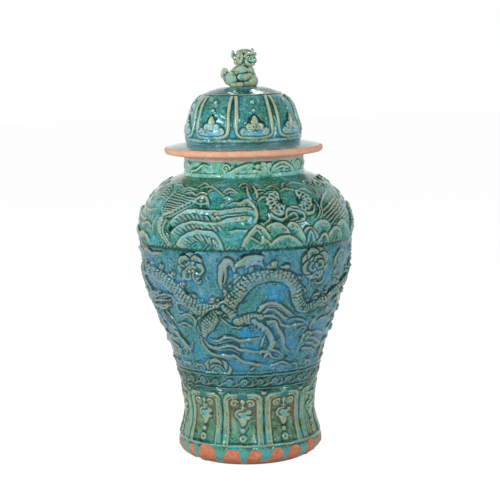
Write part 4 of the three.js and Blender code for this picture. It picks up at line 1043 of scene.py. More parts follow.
class Wire:
    """A value in a material that can be worked with like a number"""

    def __init__(self, finish, socket):
        self.finish, self.socket = finish, socket

    def worked(self, operation, *values, clamp=False):
        """The value of a Math node over numbers and wires"""
        settings = {"operation": operation, "use_clamp": clamp}
        return Wire(self.finish, self.finish.node("Math", settings, dict(enumerate(values))).outputs[0])

    def __add__(self, other):
        return self.worked("ADD", self, other)

    def __radd__(self, other):
        return self.worked("ADD", other, self)

    def __sub__(self, other):
        return self.worked("SUBTRACT", self, other)

    def __rsub__(self, other):
        return self.worked("SUBTRACT", other, self)

    def __mul__(self, other):
        return self.worked("MULTIPLY", self, other)

    def __rmul__(self, other):
        return self.worked("MULTIPLY", other, self)

    def clip(self):
        """The value kept between 0 and 1"""
        return self.worked("ADD", self, 0.0, clamp=True)


class Finish:
    """A material, or the world, under construction"""

    def __init__(self, name, world=False):
        self.material = bpy.data.worlds.new(name) if world else bpy.data.materials.new(name)
        self.output = "OutputWorld" if world else "OutputMaterial"
        if world:
            bpy.context.scene.world = self.material
        self.material.use_nodes = True
        self.tree = self.material.node_tree
        self.tree.nodes.clear()

    def node(self, kind, settings=(), sockets=()):
        """A node of a kind, with its settings made first and then the values or links of its sockets"""
        made = self.tree.nodes.new("ShaderNode" + kind)
        for key, value in dict(settings).items():
            setattr(made, key, value)
        for key, value in dict(sockets).items():
            if isinstance(value, Wire):
                self.tree.links.new(value.socket, made.inputs[key])
            else:
                made.inputs[key].default_value = value
        return made

    def wire(self, kind, output=0, settings=(), sockets=()):
        """One output of a node of a kind"""
        return Wire(self, self.node(kind, settings, sockets).outputs[output])

    def mix(self, share, one, other):
        """A colour that goes from one to the other"""
        settings = {"data_type": "RGBA", "clamp_factor": True}
        return self.wire("Mix", 2, settings, {0: share, 6: one, 7: other})

    def band(self, value, low, high):
        """0 below low and 1 above high, with a smooth step between"""
        return self.wire("MapRange", 0, {"interpolation_type": "SMOOTHSTEP"},
                         {"Value": value, "From Min": low, "From Max": high})

    def noise(self, place, scale, detail, roughness, distortion=0.0):
        """Noise from 0 to 1 over a place"""
        return self.wire("TexNoise", 0, {}, {"Vector": place, "Scale": scale, "Detail": detail,
                                             "Roughness": roughness, "Distortion": distortion})

    def field(self, name):
        """A field that the mesh carries, one of FIELDS"""
        return self.wire("Attribute", 2, {"attribute_name": name, "attribute_type": "GEOMETRY"})

    def surface(self, **sockets):
        """Ends the material with a physical surface, its sockets named with _ for a space"""
        shader = self.node("BsdfPrincipled", {}, {k.replace("_", " "): v for k, v in sockets.items()})
        self.close(Wire(self, shader.outputs[0]))
        return self.material

    def close(self, shader):
        """Ends the material, or the world, with a shader"""
        self.node(self.output, {}, {0: shader})


# The brown of rust, which on the foot also paints shadow lines inside the arches
RUST_AND_SHADE = "7c543c"
# The colour of pale specks that are painted highlights: sparkles of light painted into the glaze
PAINTED_SPARKLES = "cde4e2"


def glaze(name, ground, shade, glint, thin, deep, pools, tan, moss, blotch=16, crests=0.7, lift=0.7,
          well="0b5a66", clay=("c97a58", "dc9878")):
    """Running glaze over clay. ground and shade are its body and the darker clouds in it. The colour after
    them is its paler clouds and the faces of the ornament, and also a painted sheen: pale streaks that stand
    for light reflected off the glaze. thin and tan are how it breaks over the ornament, deep and well how it
    gathers beside it, green and blue, pools the blue that floats in it, and moss its thick green. blotch is
    how fine its clouds are, crests how far the ornament shows tan, and lift how far it shows thin"""
    f = Finish(name)
    place = Wire(f, f.node("TexCoord").outputs["Object"])
    crest, fine, relief, gather, hue, rust_and_shade, bare = (f.field(key) for key in FIELDS)
    # Clouds are broad, other a second set of them, then come mottle and grain, and streaks that run down
    clouds = f.noise(place, blotch, 4, 0.6, 0.8) - 0.5
    elsewhere = f.wire("VectorMath", 0, {"operation": "ADD"}, {0: place, 1: (3.1, 1.7, 5.3)})
    other = f.noise(elsewhere, blotch * 1.9, 4, 0.6, 0.8) - 0.5
    mottle = f.noise(place, 120, 4, 0.65, 0.9) - 0.5
    grain = f.noise(place, 430, 3, 0.65, 0.4) - 0.5
    down = f.wire("Mapping", 0, {}, {"Vector": place, "Scale": (1.0, 1.0, 0.2)})
    streak = f.noise(down, 110, 3, 0.6) - 0.5

    # The ground, and the thinner glaze on what is raised a little
    colour = f.mix(f.band(clouds + grain * 0.3, -0.09, 0.09), linear(ground), linear(shade))
    # Pale patches and streaks over the ground: paler glaze, and painted sheen, light reflected off the glaze
    # painted into its colour
    colour = f.mix(f.band(streak + grain * 0.6 + other * 0.8, 0.05, 0.3) * 0.6, colour, linear(glint))
    body = f.mix(f.band(mottle + clouds * 0.8, -0.16, 0.12), linear(glint), linear(thin))
    low = f.band(relief + mottle * 1.6 + clouds * 0.8, 0.12, 0.6) * (1 - f.band(relief, 0.85, 1.15) * 0.5)
    colour = f.mix(low * lift, colour, body)
    # Dark and pale mottling
    colour = f.mix(f.band(mottle + grain * 1.2, 0.0, 0.2) * 0.6, colour, linear(deep))
    colour = f.mix(f.band(mottle * -1 - grain * 0.9, 0.06, 0.24) * 0.4, colour, linear(glint))
    # Blue that floats and green that lies thick
    blue = f.band(hue + other * 2.2 + mottle * 0.9 + grain * 0.5, 0.22, 0.95)
    colour = f.mix(blue * 0.9, colour, linear(pools))
    green = f.band(hue * -1 + clouds * 2.0 + mottle * 0.9 + grain * 0.5, 0.25, 1.0)
    colour = f.mix(green * 0.85, colour, linear(moss))
    # Glaze that has gathered beside the ornament, and dark specks
    sink = f.band(gather * 1.1 + fine * -0.6 + crest * -0.3 + mottle * 1.4 + clouds * 0.8, 0.16, 0.6)
    thick = f.mix(f.band(other + hue * 0.5 + mottle * 0.6, 0.0, 0.14), linear(deep), linear(well))
    depth = 0.76 + 0.24 * f.band(gather * 0.5 + hue * -0.7 + clouds * 1.6 + mottle, 0.2, 0.8)
    colour = f.mix(sink * depth, colour, thick)
    colour = f.mix(f.band(grain + mottle * 0.4, 0.09, 0.18) * 0.6, colour, linear(deep))
    # Crests that show the clay through, rust and painted brown shadow, and pale specks that are painted
    # sparkle highlights
    rise = f.band(fine * 0.5 + crest * 0.7 + grain * 1.0 + mottle * 1.5 + other * 1.4, 0.36, 1.05)
    gold = f.mix(f.band(mottle + clouds * 0.5, -0.08, 0.14), linear(thin), linear(tan))
    colour = f.mix(rise * crests, colour, gold)
    colour = f.mix(f.band(rust_and_shade + grain * 1.0 + mottle * 0.6, 0.25, 0.8) * 0.8, colour, linear(RUST_AND_SHADE))
    # Pale specks: painted sparkle highlights
    colour = f.mix(f.band(grain * -1 + mottle * 0.3, 0.17, 0.23) * 0.8, colour, linear(PAINTED_SPARKLES))
    # Bare clay where the glaze ends
    edge = f.band(bare + streak * 0.25, 0.42, 0.58)
    colour = f.mix(edge, colour, f.mix(f.band(mottle, -0.1, 0.15), linear(clay[0]), linear(clay[1])))
    rough = 0.04 + 0.06 * f.band(mottle, -0.1, 0.2) + edge * 0.65
    waves = f.noise(place, 230, 2, 0.5) * 0.9 + f.noise(place, 640, 2, 0.6) * 0.35 + edge * grain * 0.2
    bump = f.wire("Bump", 0, {}, {"Strength": 0.22, "Distance": 0.0011, "Height": waves})
    return f.surface(Base_Color=colour, Roughness=rough, Normal=bump, IOR=1.48,
                     Specular_Tint=(0.55, 0.95, 1.0, 1.0))


class Clay:
    """Modelled clay as distances from its skin, on a grid of points in space. Places are [right, back, up]
    mm from the middle of the dome's crown"""
    step = 0.55

    def __init__(self, low, high):
        self.low = np.array(low, float)
        axes = [np.arange(a, b, self.step) for a, b in zip(low, high)]
        self.x, self.y, self.z = np.meshgrid(*axes, indexing="ij")
        self.d = np.full(self.x.shape, 60.0)

    def add(self, other, blend):
        """Joins a lump or a limb on, with a fillet about blend mm wide"""
        near = np.clip(0.5 + 0.5 * (self.d - other) / blend, 0, 1)
        self.d = self.d + (other - self.d) * near - blend * near * (1 - near)

    def cut(self, other, blend):
        """Presses a lump or a limb in, with its edge rounded about blend mm wide"""
        near = np.clip(0.5 - 0.5 * (self.d + other) / blend, 0, 1)
        self.d = self.d + (-other - self.d) * near + blend * near * (1 - near)

    def lump(self, centre, radii, turn=(0, 0, 0)):
        """Distances from an oval with a centre, half sizes, and turns in degrees about x, y and z"""
        p = np.stack([self.x - centre[0], self.y - centre[1], self.z - centre[2]])
        for axis, angle in enumerate(turn):
            if angle:
                c, s = math.cos(math.radians(angle)), math.sin(math.radians(angle))
                a, b = (axis + 1) % 3, (axis + 2) % 3
                p[a], p[b] = c * p[a] + s * p[b], c * p[b] - s * p[a]
        radii = np.array(radii, float)[:, None, None, None]
        inner = np.sqrt(((p / radii)**2).sum(0))
        outer = np.sqrt(((p / radii**2)**2).sum(0))
        return inner * (inner - 1) / np.maximum(outer, 1e-6)

    def limb(self, *joints):
        """Distances from a chain of rounded lengths through (x, y, z, radius) joints"""
        best = None
        for a, b in zip(joints[:-1], joints[1:]):
            a, b = np.array(a, float), np.array(b, float)
            u = b[:3] - a[:3]
            t = ((self.x - a[0]) * u[0] + (self.y - a[1]) * u[1] + (self.z - a[2]) * u[2]) / max(u @ u, 1e-9)
            t = np.clip(t, 0, 1)
            d = np.sqrt((self.x - a[0] - t * u[0])**2 + (self.y - a[1] - t * u[1])**2
                        + (self.z - a[2] - t * u[2])**2) - (a[3] + t * (b[3] - a[3]))
            best = d if best is None else np.minimum(best, d)
        return best

    def blurred(self, mm):
        """The distances, blurred over mm in every direction"""
        out = self.d
        for axis in range(3):
            f = np.fft.rfftfreq(out.shape[axis]) / self.step
            shape = [1, 1, 1]
            shape[axis] = -1
            out = np.fft.irfft(np.fft.rfft(out, axis=axis) * np.exp(-2 * (np.pi * mm * f)**2).reshape(shape),
                               n=self.d.shape[axis], axis=axis)
        return out

    def skin(self, name, body, nodes, material, blue=()):
        """The clay's skin as a closed mesh: a point in each cell that it passes through, joined to its
        neighbours. blue lists where its glaze floats blue, as x, y, z, radius and strength"""
        d = self.d
        inside = d < 0
        corners = [(i, j, k) for i in (0, 1) for j in (0, 1) for k in (0, 1)]

        def shifted(field, by):
            return field[tuple(slice(b, field.shape[n] - 1 + b) for n, b in enumerate(by))]

        count = sum(shifted(inside, c).astype(int) for c in corners)
        mixed = (count > 0) & (count < 8)
        cells = np.argwhere(mixed)
        number = np.full(mixed.shape, -1)
        number[mixed] = np.arange(len(cells))
        total, crossings = np.zeros((len(cells), 3)), np.zeros(len(cells))
        for axis in range(3):
            for c in corners:
                if c[axis]:
                    continue
                start = np.array(c)
                a = d[tuple((cells + start).T)]
                end = start.copy()
                end[axis] = 1
                b = d[tuple((cells + end).T)]
                cross = (a < 0) != (b < 0)
                t = np.where(cross, a / np.where(cross, a - b, 1), 0)
                total += np.where(cross[:, None], start + t[:, None] * np.eye(3)[axis], 0)
                crossings += cross
        points = (cells + total / crossings[:, None]) * self.step + self.low
        faces = []
        for axis in range(3):
            u, v = (axis + 1) % 3, (axis + 2) % 3
            one = [slice(1, -1)] * 3
            one[axis] = slice(0, -1)
            two = list(one)
            two[axis] = slice(1, None)
            a, b = inside[tuple(one)], inside[tuple(two)]
            at = np.argwhere(a != b) + [0 if n == axis else 1 for n in range(3)]
            flip = a[a != b]
            ring = []
            for du, dv in ((-1, -1), (0, -1), (0, 0), (-1, 0)):
                cell = at.copy()
                cell[:, u] += du
                cell[:, v] += dv
                ring.append(number[tuple(cell.T)])
            ring = np.stack(ring, 1)
            faces.append(np.where(flip[:, None], ring, ring[:, ::-1]))
        faces = np.vstack(faces)
        low = np.clip(np.round((points - self.low) / self.step).astype(int), 0, np.array(d.shape) - 1)
        fields = {
            "crest": np.clip((self.blurred(1.8) - d)[tuple(low.T)] / 0.55, -1, 1),
            "fine": np.clip((self.blurred(0.9) - d)[tuple(low.T)] / 0.2, -1, 1),
            "relief": np.full(len(points), 0.5),
        }
        fields["gather"] = np.clip(fields["crest"] * -1.3 - fields["fine"] * 0.8, 0, 1.4)
        for key in ("hue", "rust_and_shade", "bare"):
            fields[key] = np.zeros(len(points))
        for *middle, radius, strength in blue:
            fields["hue"] += strength * np.exp(-((points - middle)**2).sum(1) / radius**2)
        mesh = bpy.data.meshes.new(name)
        fill_mesh(mesh, points + [0, 0, DOME_TOP], faces.ravel(), np.full(len(faces), 4), None, fields)
        piece(name, mesh, body, nodes, material)


def build_lion():
    """The finial: a lion that sits on its haunches, looks to the right and rests a paw on a ball"""
    celadon = glaze("lion_glaze", "6fa890", "4f9488", "c2dccc", "b0be94", "06302e", "2a9c9c", tan="bcb488",
                    blotch=60, crests=0.6, moss="2c7a6c", well="0a6464")
    figure = Clay((-36, -19, -1.5), (28, 18, 40))
    lump, limb = figure.lump, figure.limb
    for part, blend in (
            # Back, chest and side
            (limb((-14, 0, 13, 11), (-6, 0, 22, 10.5), (3, 0, 27, 9.5), (6, 0, 33, 8.5)), 3),
            (lump((11, -1, 24), (8.5, 9, 8)), 2.5),
            (lump((0, -6, 25), (8.5, 6, 8.5)), 2),
            # Haunches and hind feet
            (lump((-16, -7.5, 11.5), (9.5, 7, 11.8), (0, -12, 0)), 1.4),
            (lump((-15, 8, 11.5), (9.5, 6.5, 11.8), (0, -12, 0)), 1.4),
            (limb((-14, -11, 3.8, 4), (-1.5, -12, 3.6, 3.6)), 1),
            (limb((-13, 11, 3.8, 4), (-2, 11.5, 3.6, 3.4)), 1),
            # Forelegs and the seat under them
            (limb((-2, -9, 15, 5.6), (5, -11, 14.6, 5.6), (12.5, -10, 17.5, 3.8)), 1),
            (limb((14, 4, 24, 5.2), (19, 4, 12, 4.4), (20, 3, 4, 4.2)), 1.6),
            (limb((-8, -3, 5, 6), (12, -1, 5, 5.5)), 2),
            # Tail
            (lump((-26.6, 0, 20.4), (6.2, 5, 9.2), (0, 8, 0)), 1),
            (limb((-25, 0, 14, 4.5), (-27, 0, 10.4, 1.6)), 2),
            (limb((-22, 0, 8, 5), (-24, 0, 16, 4)), 2)):
        figure.add(part, blend)
    for part, blend in (
            # Creases behind the foreleg, on the haunch and over the foreleg
            (limb((-8.5, -14, 25, 1.1), (-7.8, -14.5, 18, 1.3), (-9.5, -14, 11, 1.1)), 1.2),
            (limb((-18, -15.5, 11, 1.0), (-20.5, -14.5, 6, 1.2), (-23, -13, 3, 1.0)), 1.2),
            (limb((-3, -14, 21.5, 1.4), (4, -14.5, 21, 1.5), (9, -13, 22.5, 1.4)), 1.2),
            (limb((9, -10, 22, 1.2), (16, -9, 19.6, 1.2)), 1),
            # Locks of the tail, toes, the edge of the mane and the paw
            (limb((-30, -5, 24, 0.9), (-27, -5.4, 19, 1.2), (-29, -5, 15, 0.9)), 1),
            (limb((-26, -5, 26.5, 0.8), (-23, -5, 22, 1.0)), 1),
            (limb((-4, -16, 5, 0.6), (-1, -16, 3, 0.8)), 0.8),
            (limb((5, -9, 33, 1.2), (11, -10, 29, 1.4), (16, -8, 30, 1.2)), 1.4),
            (limb((9, -10, 16.5, 0.5), (14, -13.5, 16.5, 0.7)), 0.7)):
        figure.cut(part, blend)
    figure.skin("lion_figure", "lid", ["lion_body", "lion_tail", "lion_forelegs"], celadon,
                [(1, -14, 15, 6, 1.0), (14, -10, 23, 5, 0.7), (20, -2, 8, 6, 0.7), (-24, -5, 15, 4, 0.6)])

    head = Clay((-21, -19, 26), (28, 18, 64))
    lump, limb = head.lump, head.limb
    for part, blend in (
            # Skull, cheek, muzzle, chin and nose
            (lump((4, 0, 45), (13, 11, 11.6)), 2),
            (lump((12, -6, 43.5), (9.5, 8.5, 9.6)), 2),
            (lump((18, -8.5, 39.6), (5.6, 5.2, 4.8)), 1.5),
            (lump((15.5, -7.5, 34.6), (5.6, 5.4, 3.4)), 1),
            (lump((21, -11.5, 42.2), (2.2, 2.4, 1.9)), 0.8),
            # Brows, the crest over the head and its two tufts
            (limb((5, -12, 46.5, 1.8), (8, -13.6, 50, 2), (13, -13, 50.4, 2.2), (17, -10.5, 51.6, 2)), 1),
            (limb((16.5, -9, 50, 2.2), (20.5, -5, 50.6, 2.6), (21.5, 0, 49, 2.2)), 1),
            (limb((-5, 0, 53, 3), (3, 0, 55, 3.2), (8, -1, 55.4, 3), (13, -2, 53, 2.6)), 1.6),
            (limb((16, -3, 52, 3.2), (16.9, -3.5, 56.5, 2.4)), 1),
            (limb((8, 3, 53, 2.6), (11, 4, 55.4, 2)), 1),
            # Ears, the lock behind the head, the beard and the mane
            *((lump((-2.6, side * 10.8, 44.2), (6, 3.4, 9.6), (0, 4, 0)), 0.7) for side in (-1, 1)),
            (limb((-8, 0, 44, 6), (-12, 0, 47, 4)), 1.6),
            (lump((-13.6, 0, 50.6), (2.9, 5.4, 5.6), (0, 14, 0)), 0.8),
            (limb((6, -14, 41, 2.0), (8, -15, 36.6, 2.2), (12, -13.4, 33.6, 2)), 1),
            *((lump((-8, side * 6, 38), (4.4, 4.4, 4.6)), 0.8) for side in (-1, 1)),
            (lump((5, 0, 36), (8, 8, 6)), 2)):
        head.add(part, blend)
    for part, blend in (
            # The hollows of the ears and the crease in front of them
            *((lump((-2.8, side * 15.8, 43.6), (3.5, 2.6, 6.4), (0, 4, 0)), 1.2) for side in (-1, 1)),
            (limb((2.4, -13, 52, 0.9), (4.4, -14, 45, 1.2), (4, -13.6, 38, 1.1)), 0.9),
            # Eye sockets, mouth and nostril
            (lump((12.6, -14.2, 43.6), (3.2, 2.8, 2.6)), 0.8),
            (lump((20.6, -3.2, 44.6), (2.6, 2.8, 2.6)), 0.8),
            (limb((23.4, -10, 37.4, 0.9), (17.6, -14, 36.6, 1.3), (12, -14.8, 38, 0.9)), 0.8),
            (limb((22.6, -13, 41.4, 0.5), (20.8, -14, 41, 0.6)), 0.5),
            # Behind the lock, under the brow and beside the crest
            (lump((-17, 0, 51), (1.8, 3.4, 3.4)), 0.8),
            (limb((9, -13.6, 48.4, 0.7), (14, -13.8, 47.4, 0.8)), 0.7),
            (limb((-6, -8, 51, 0.8), (0, -9, 55, 0.8)), 0.8)):
        head.cut(part, blend)
    # Eyeballs
    head.add(lump((12.7, -13.4, 43.4), (2.1, 2.1, 2.0)), 0.3)
    head.add(lump((20.4, -4.4, 44.4), (2.0, 2.0, 2.0)), 0.3)
    head.skin("lion_face", "lid", ["lion_head"], celadon,
              [(20, -11, 39, 5, 1.1), (6, -12, 36, 4, 0.7), (-9, -7, 38, 4, 0.8), (14, -13, 44, 2.5, 0.6)])

    # The ball under its paw, with three grooves
    x, y = 16.8, -3.4
    ball = Clay((6, -15, -1.5), (28, 9, 20))
    ball.add(ball.lump((x, y, 8.6), (8.4, 8.4, 8.6)), 0.1)
    for a in (-50, 10, 70):
        c, s = math.cos(math.radians(a)), math.sin(math.radians(a))
        groove = [(x - 8 * s, y - 8.6 * c, 2, 0.5), (x - 9 * s, y - 9.4 * c, 9, 0.7),
                  (x - 8 * s, y - 8.6 * c, 15, 0.5)]
        ball.cut(ball.limb(*groove), 0.6)
    ball.skin("lion_toy", "lid", ["lion_ball"], celadon)


def glaze_clouds_of_belly(c):
    """Where the belly's glaze floats blue, gathers green or breaks to rust, as in the photograph"""
    c.stain([(-2, 213, 7, 1.0), (7, 214, 5, 0.7), (3, 188, 5, 0.8), (0, 173, 5, 0.8), (-26, 200, 5, 0.7),
             (29, 195, 6, 1.0), (13, 280, 9, 0.55), (18, 266, 8, 0.6), (20, 284, 7, 0.6), (5, 258, 6, 0.6),
             (-31, 293, 7, 0.9), (-26.6, 267, 5, 1.0), (-55, 281, 7, 0.7), (-59, 312, 6, 0.6),
             (-40, 186, 8, 0.7), (54, 211, 8, 0.9), (12, 163, 5, 0.8), (-34, 172, 10, 0.4),
             (-12, 158, 8, 0.4), (48, 296, 6, 0.5), (-20, 300, 6, 0.5), (8, 320, 8, 0.4), (-45, 325, 8, 0.4),
             (-10, 262, 5, 0.5)])
    c.stain([(-57, 268, 4, -0.9), (-9, 262, 3, -0.6), (0, 283, 3, -0.6), (8, 296, 6, -0.5),
             (38, 290, 9, -0.7), (46, 280, 8, -0.6), (34, 250, 6, -0.9), (42, 244, 9, -0.9),
             (50, 236, 9, -0.8), (40, 232, 6, -0.9), (-1.5, 229, 5, -1.0), (28, 172, 6, -0.7),
             (-21, 243, 7, -0.6), (-70, 300, 9, -0.5), (40, 178, 5, -0.7), (-13, 240, 5, -0.5),
             (33, 215, 5, -0.8), (62, 262, 9, -0.6), (66, 300, 10, -0.5), (-64, 190, 8, -0.3),
             (58, 178, 8, -0.4), (20, 322, 5, -0.4), (-3, 333, 6, -0.5)])
    c.stain([(-52, 257, 5, 1.0), (-67, 251, 7, 0.5), (-51, 183, 5, 0.7), (-60, 230, 8, 0.5),
             (-62, 205, 9, 0.4), (-70, 275, 9, 0.3), (-66, 312, 7, 0.3), (4, 322, 4, 0.5),
             (-4, 247, 5, 0.45), (12, 318, 3, 0.7), (22, 313, 3.5, 0.7), (-36, 288, 3.5, 0.7),
             (-43, 305, 3.5, 0.5), (60, 279, 5, 0.4), (-8, 335, 5, 0.4), (-30, 271, 3.5, 0.5),
             (-21, 266, 3, 0.5), (15, 249, 4, 0.3), (11, 178, 4, 0.4)], c.rust_and_shade)
    c.stain([(-57, 268, 3, 0.6), (-10, 263, 2.5, 0.5), (-2, 285, 2.5, 0.4), (34, 250, 4, 0.6),
             (42, 243, 5, 0.6), (50, 238, 6, 0.4), (-1.5, 229, 4, 0.9), (33, 226, 3, 0.7), (28, 172, 4, 0.5),
             (40, 178, 3, 0.6), (-22, 243, 4, 0.4), (30, 316, 4, 0.3), (-26.6, 267, 3, 0.5)], c.wet)


def glaze_clouds_of_shoulder(c):
    """Where the shoulder's glaze floats blue, gathers green or breaks to rust"""
    c.stain([(3, 420, 5, 1.0), (4, 383, 5, 0.9), (22, 373, 5, 0.6), (36, 360, 6, 0.8), (-15, 367, 5, 0.7),
             (-5, 358, 8, 0.45), (-56, 353, 7, 1.0), (-37, 371, 4, 0.7), (-18, 422, 7, 0.5),
             (2, 397, 5, 0.6), (-62, 366, 6, 0.5), (20, 356, 6, 0.4), (-1, 372, 5, 0.4)])
    c.stain([(-24, 401, 5, -1.0), (-2, 413, 7, -0.9), (8, 385, 4, -0.9), (15, 384, 4, -0.9),
             (22, 384, 4, -0.8), (21, 411, 4, -1.0), (34, 411, 4, -1.0), (45, 408, 7, -0.9),
             (44, 394, 5, -0.8), (-42, 372, 4, -1.0), (32, 376, 5, -0.8), (54, 362, 8, -0.7),
             (62, 356, 8, -0.6), (-30, 428, 8, -0.4), (10, 404, 8, -0.6), (-50, 404, 6, -0.4),
             (-68, 400, 9, -0.5), (0, 432, 9, -0.5), (30, 430, 9, -0.4), (-74, 366, 8, -0.4),
             (12, 368, 5, -0.5)])
    c.stain([(-34, 386, 4, 0.45), (-28, 388, 4, 0.45), (-27, 373, 4, 0.5), (-18, 374, 4, 0.45),
             (-36, 379, 4, 0.4), (19, 399, 4, 0.45), (-24, 358, 4, 0.35), (13, 380, 4, 0.4),
             (30, 394, 4, 0.4)], c.rust_and_shade)
    # The glaze lies thick and dark under the neck and over the seam
    c.hue -= 0.55 * c.past(420, 18) + 0.6 * c.belt(344, 4)
    c.wet += 0.75 * c.belt(342.5, 2.4)
    c.stain([(-24, 401, 4, 0.7), (-2, 413, 6, 0.4), (8, 385, 3, 0.9), (15, 384, 3, 0.8), (22, 384, 3, 0.8),
             (21, 411, 3.5, 0.8), (34, 411, 3.5, 0.8), (45, 404, 5, 0.5), (-42, 372, 4, 0.9),
             (32, 376, 4, 0.6), (-10, 383, 3, 0.3), (-55, 356, 4, 0.3)], c.wet)


# Building the jar and the lid

HALVES = ((0, "front"), (1, "back"))


def glaze_edge(canvas, full, azimuths, fields):
    """The lower edge of the glaze on the foot, which runs down in tongues between arches of bare clay. Each
    arch has an azimuth, half a width and a top"""
    arches = [(-80, 5, 28), (-67.5, 3.0, 27), (-54.5, 4.4, 29), (-37.6, 8.8, 32), (-14.9, 7.4, 27.5),
              (3, 6.0, 27), (21.3, 5.6, 28), (37.2, 6.3, 28.5), (56.8, 6.6, 30), (76, 8.5, 29)]
    rng = np.random.default_rng(8)
    arches += [(97 + 18 * k + rng.uniform(-2, 2), rng.uniform(4.5, 7.5), rng.uniform(23, 30))
               for k in range(10)]
    a = azimuths[None, :] + 0.8 * np.sin(canvas.z[:, None] / 5)
    low = 3.5 + 2.5 * np.sin(np.radians(azimuths * 9))
    edge = np.broadcast_to(low, full.shape).copy()
    for at, half, top in arches:
        x = np.abs((a - at + 180) % 360 - 180) / half
        edge = np.maximum(edge, low + (top - low) * np.clip(1 - x**4, 0, 1)**0.45)
    over = canvas.z[:, None] - edge
    glazed = np.clip(over / 1.6 + 0.5, 0, 1)
    glazed = glazed * glazed * (3 - 2 * glazed)
    full += glazed * 0.55 + 0.75 * np.exp(-((over - 2.2) / 1.8)**2) * (over > -1)
    fields["bare"] = 1 - glazed
    fields["crest"] = fields["crest"] - 0.55 * np.exp(-((over - 2.6) / 2.2)**2)


def build_jar():
    """The jar's four sections, each with the glaze of its height. Belly and shoulder are two halves each"""
    olive = glaze("foot_glaze", "5a9278", "5f7e5e", "a4c4b4", "98a884", "0a2e24", "4ca2a4", tan="b8aa80",
                  moss="0c5a50", clay=("bf6c4a", "d48a68"))
    blue = glaze("belly_glaze", "417e92", "3a7c7c", "8eb0b8", "80967f", "012a2a", "0a86bc", tan="b0a080",
                 moss="0e624e", well="045c84", lift=0.5, crests=0.6)
    green = glaze("shoulder_glaze", "3a8c86", "458672", "96c6cc", "98aa92", "02342a", "389cbc", tan="bcae8c",
                  moss="0a5e46", crests=0.66)
    foot = Canvas(jar_radius, 0, FOOT_SEAM, 140, 320)
    foot_ornament(foot)
    inner = [(96.7, 120), (91.6, 95), (90.9, 65), (98.4, 36), (90.4, 22), (0, 22)]
    recess = [(0, 8), (71, 8), (75.5, 1), (77, 0)]
    nodes = ["jar_foot", "foot_frames", *[f"foot_cloud_{k + 1}" for k in range(FOOT_PANELS)]]
    sculpted("foot_wall", foot, inner, "jar", nodes, olive, sink=(0, 1.2), axis=True,
             before=recess, seed=3, edit=glaze_edge)

    belly = Canvas(jar_radius, FOOT_SEAM, SHOULDER_SEAM, 212, 440)
    wave_crests(belly)
    belly.h[belly.z < 147] = 0
    border(belly)
    belly_clouds(belly)
    dragon(belly)
    calm = [(-14, 30, 236, 302), (-48, 36, 150, 236), (-90, 90, 322, 340)]
    filler(belly, 152, 332, 500, 31, 13, 2.0, calm)
    filler(belly, 152, 330, 300, 33, 9, 1.7, calm)
    glaze_clouds_of_belly(belly)
    belly.hue -= 0.75 * belly.past(148, -4) + 0.35 * belly.past(328, 8)
    inner = [(155.7, 340), (146.6, 285), (130.2, 230), (110.9, 175), (96.7, 120)]
    sprigs = ("dragon", "lotus_cloud", "peony_cloud", "wave_crest", "hook_cloud", "side_cloud", "low_cloud",
              "curling_flame")
    for half, side in HALVES:
        nodes = ["jar_belly"] + [f"{n}_{side}" for n in sprigs]
        sculpted(f"belly_{side}", belly, inner, "jar", nodes, blue, half=half, sink=(1.2, 1.2),
                 seed=5, wobble=0.5)

    shoulder = Canvas(jar_radius, SHOULDER_SEAM, NECK_SEAM, 140, 440)
    neck_clouds(shoulder)
    phoenix(shoulder)
    peony(shoulder)
    rocks(shoulder)
    filler(shoulder, 352, 434, 500, 37, 11, 1.9)
    filler(shoulder, 352, 436, 500, 39, 7, 1.6)
    glaze_clouds_of_shoulder(shoulder)
    inner = [(83.5, 443), (117.1, 425), (140.3, 402), (153.9, 375), (155.7, 340)]
    sprigs = ("phoenix", "peony", "rocks", "far_wing")
    for half, side in HALVES:
        nodes = ["jar_shoulder"] + [f"{n}_{side}" for n in sprigs]
        sculpted(f"shoulder_{side}", shoulder, inner, "jar", nodes, green, half=half,
                 sink=(1.2, 0), seed=7, wobble=0.5)

    neck = Canvas(neck_radius, NECK_SEAM, NECK_TOP - 1.6, 34, 400)
    neck_ornament(neck)
    # The neck's glaze and the bare clay of its lip are paler than the same glaze and clay elsewhere: partly
    # their own colour, partly painted light that makes up for the shadow the brim casts on the neck
    pale = glaze("neck_glaze", "80c6bc", "70baa6", "d8f4f4", "b8cca8", "125c48", "78c0c0", tan="c8c498",
                 moss="3c9c7c", clay=("d6bcac", "e2d2c8"))

    def bare_lip(canvas, full, azimuths, fields):
        """The lip is bare under the lid, down to an uneven edge"""
        wave = 0.5 * np.sin(np.radians(azimuths * 5)) + 0.4 * np.sin(np.radians(azimuths * 13))
        fields["bare"] = np.clip((canvas.z[:, None] - 466.2 - wave[None, :]) / 1.2, 0, 1)

    lip = [(NECK_RADIUS - 0.5, 473.6), (NECK_RADIUS - 1.6, NECK_TOP), (NECK_BORE + 1.6, NECK_TOP),
           (NECK_BORE + 0.5, 473.6), (NECK_BORE, 472), (NECK_BORE, NECK_SEAM)]
    sculpted("neck_wall", neck, lip, "jar", ["jar_neck", "neck_scroll_front", "neck_scroll_back"],
             pale, sink=(0.5, 0), seed=9, edit=bare_lip)


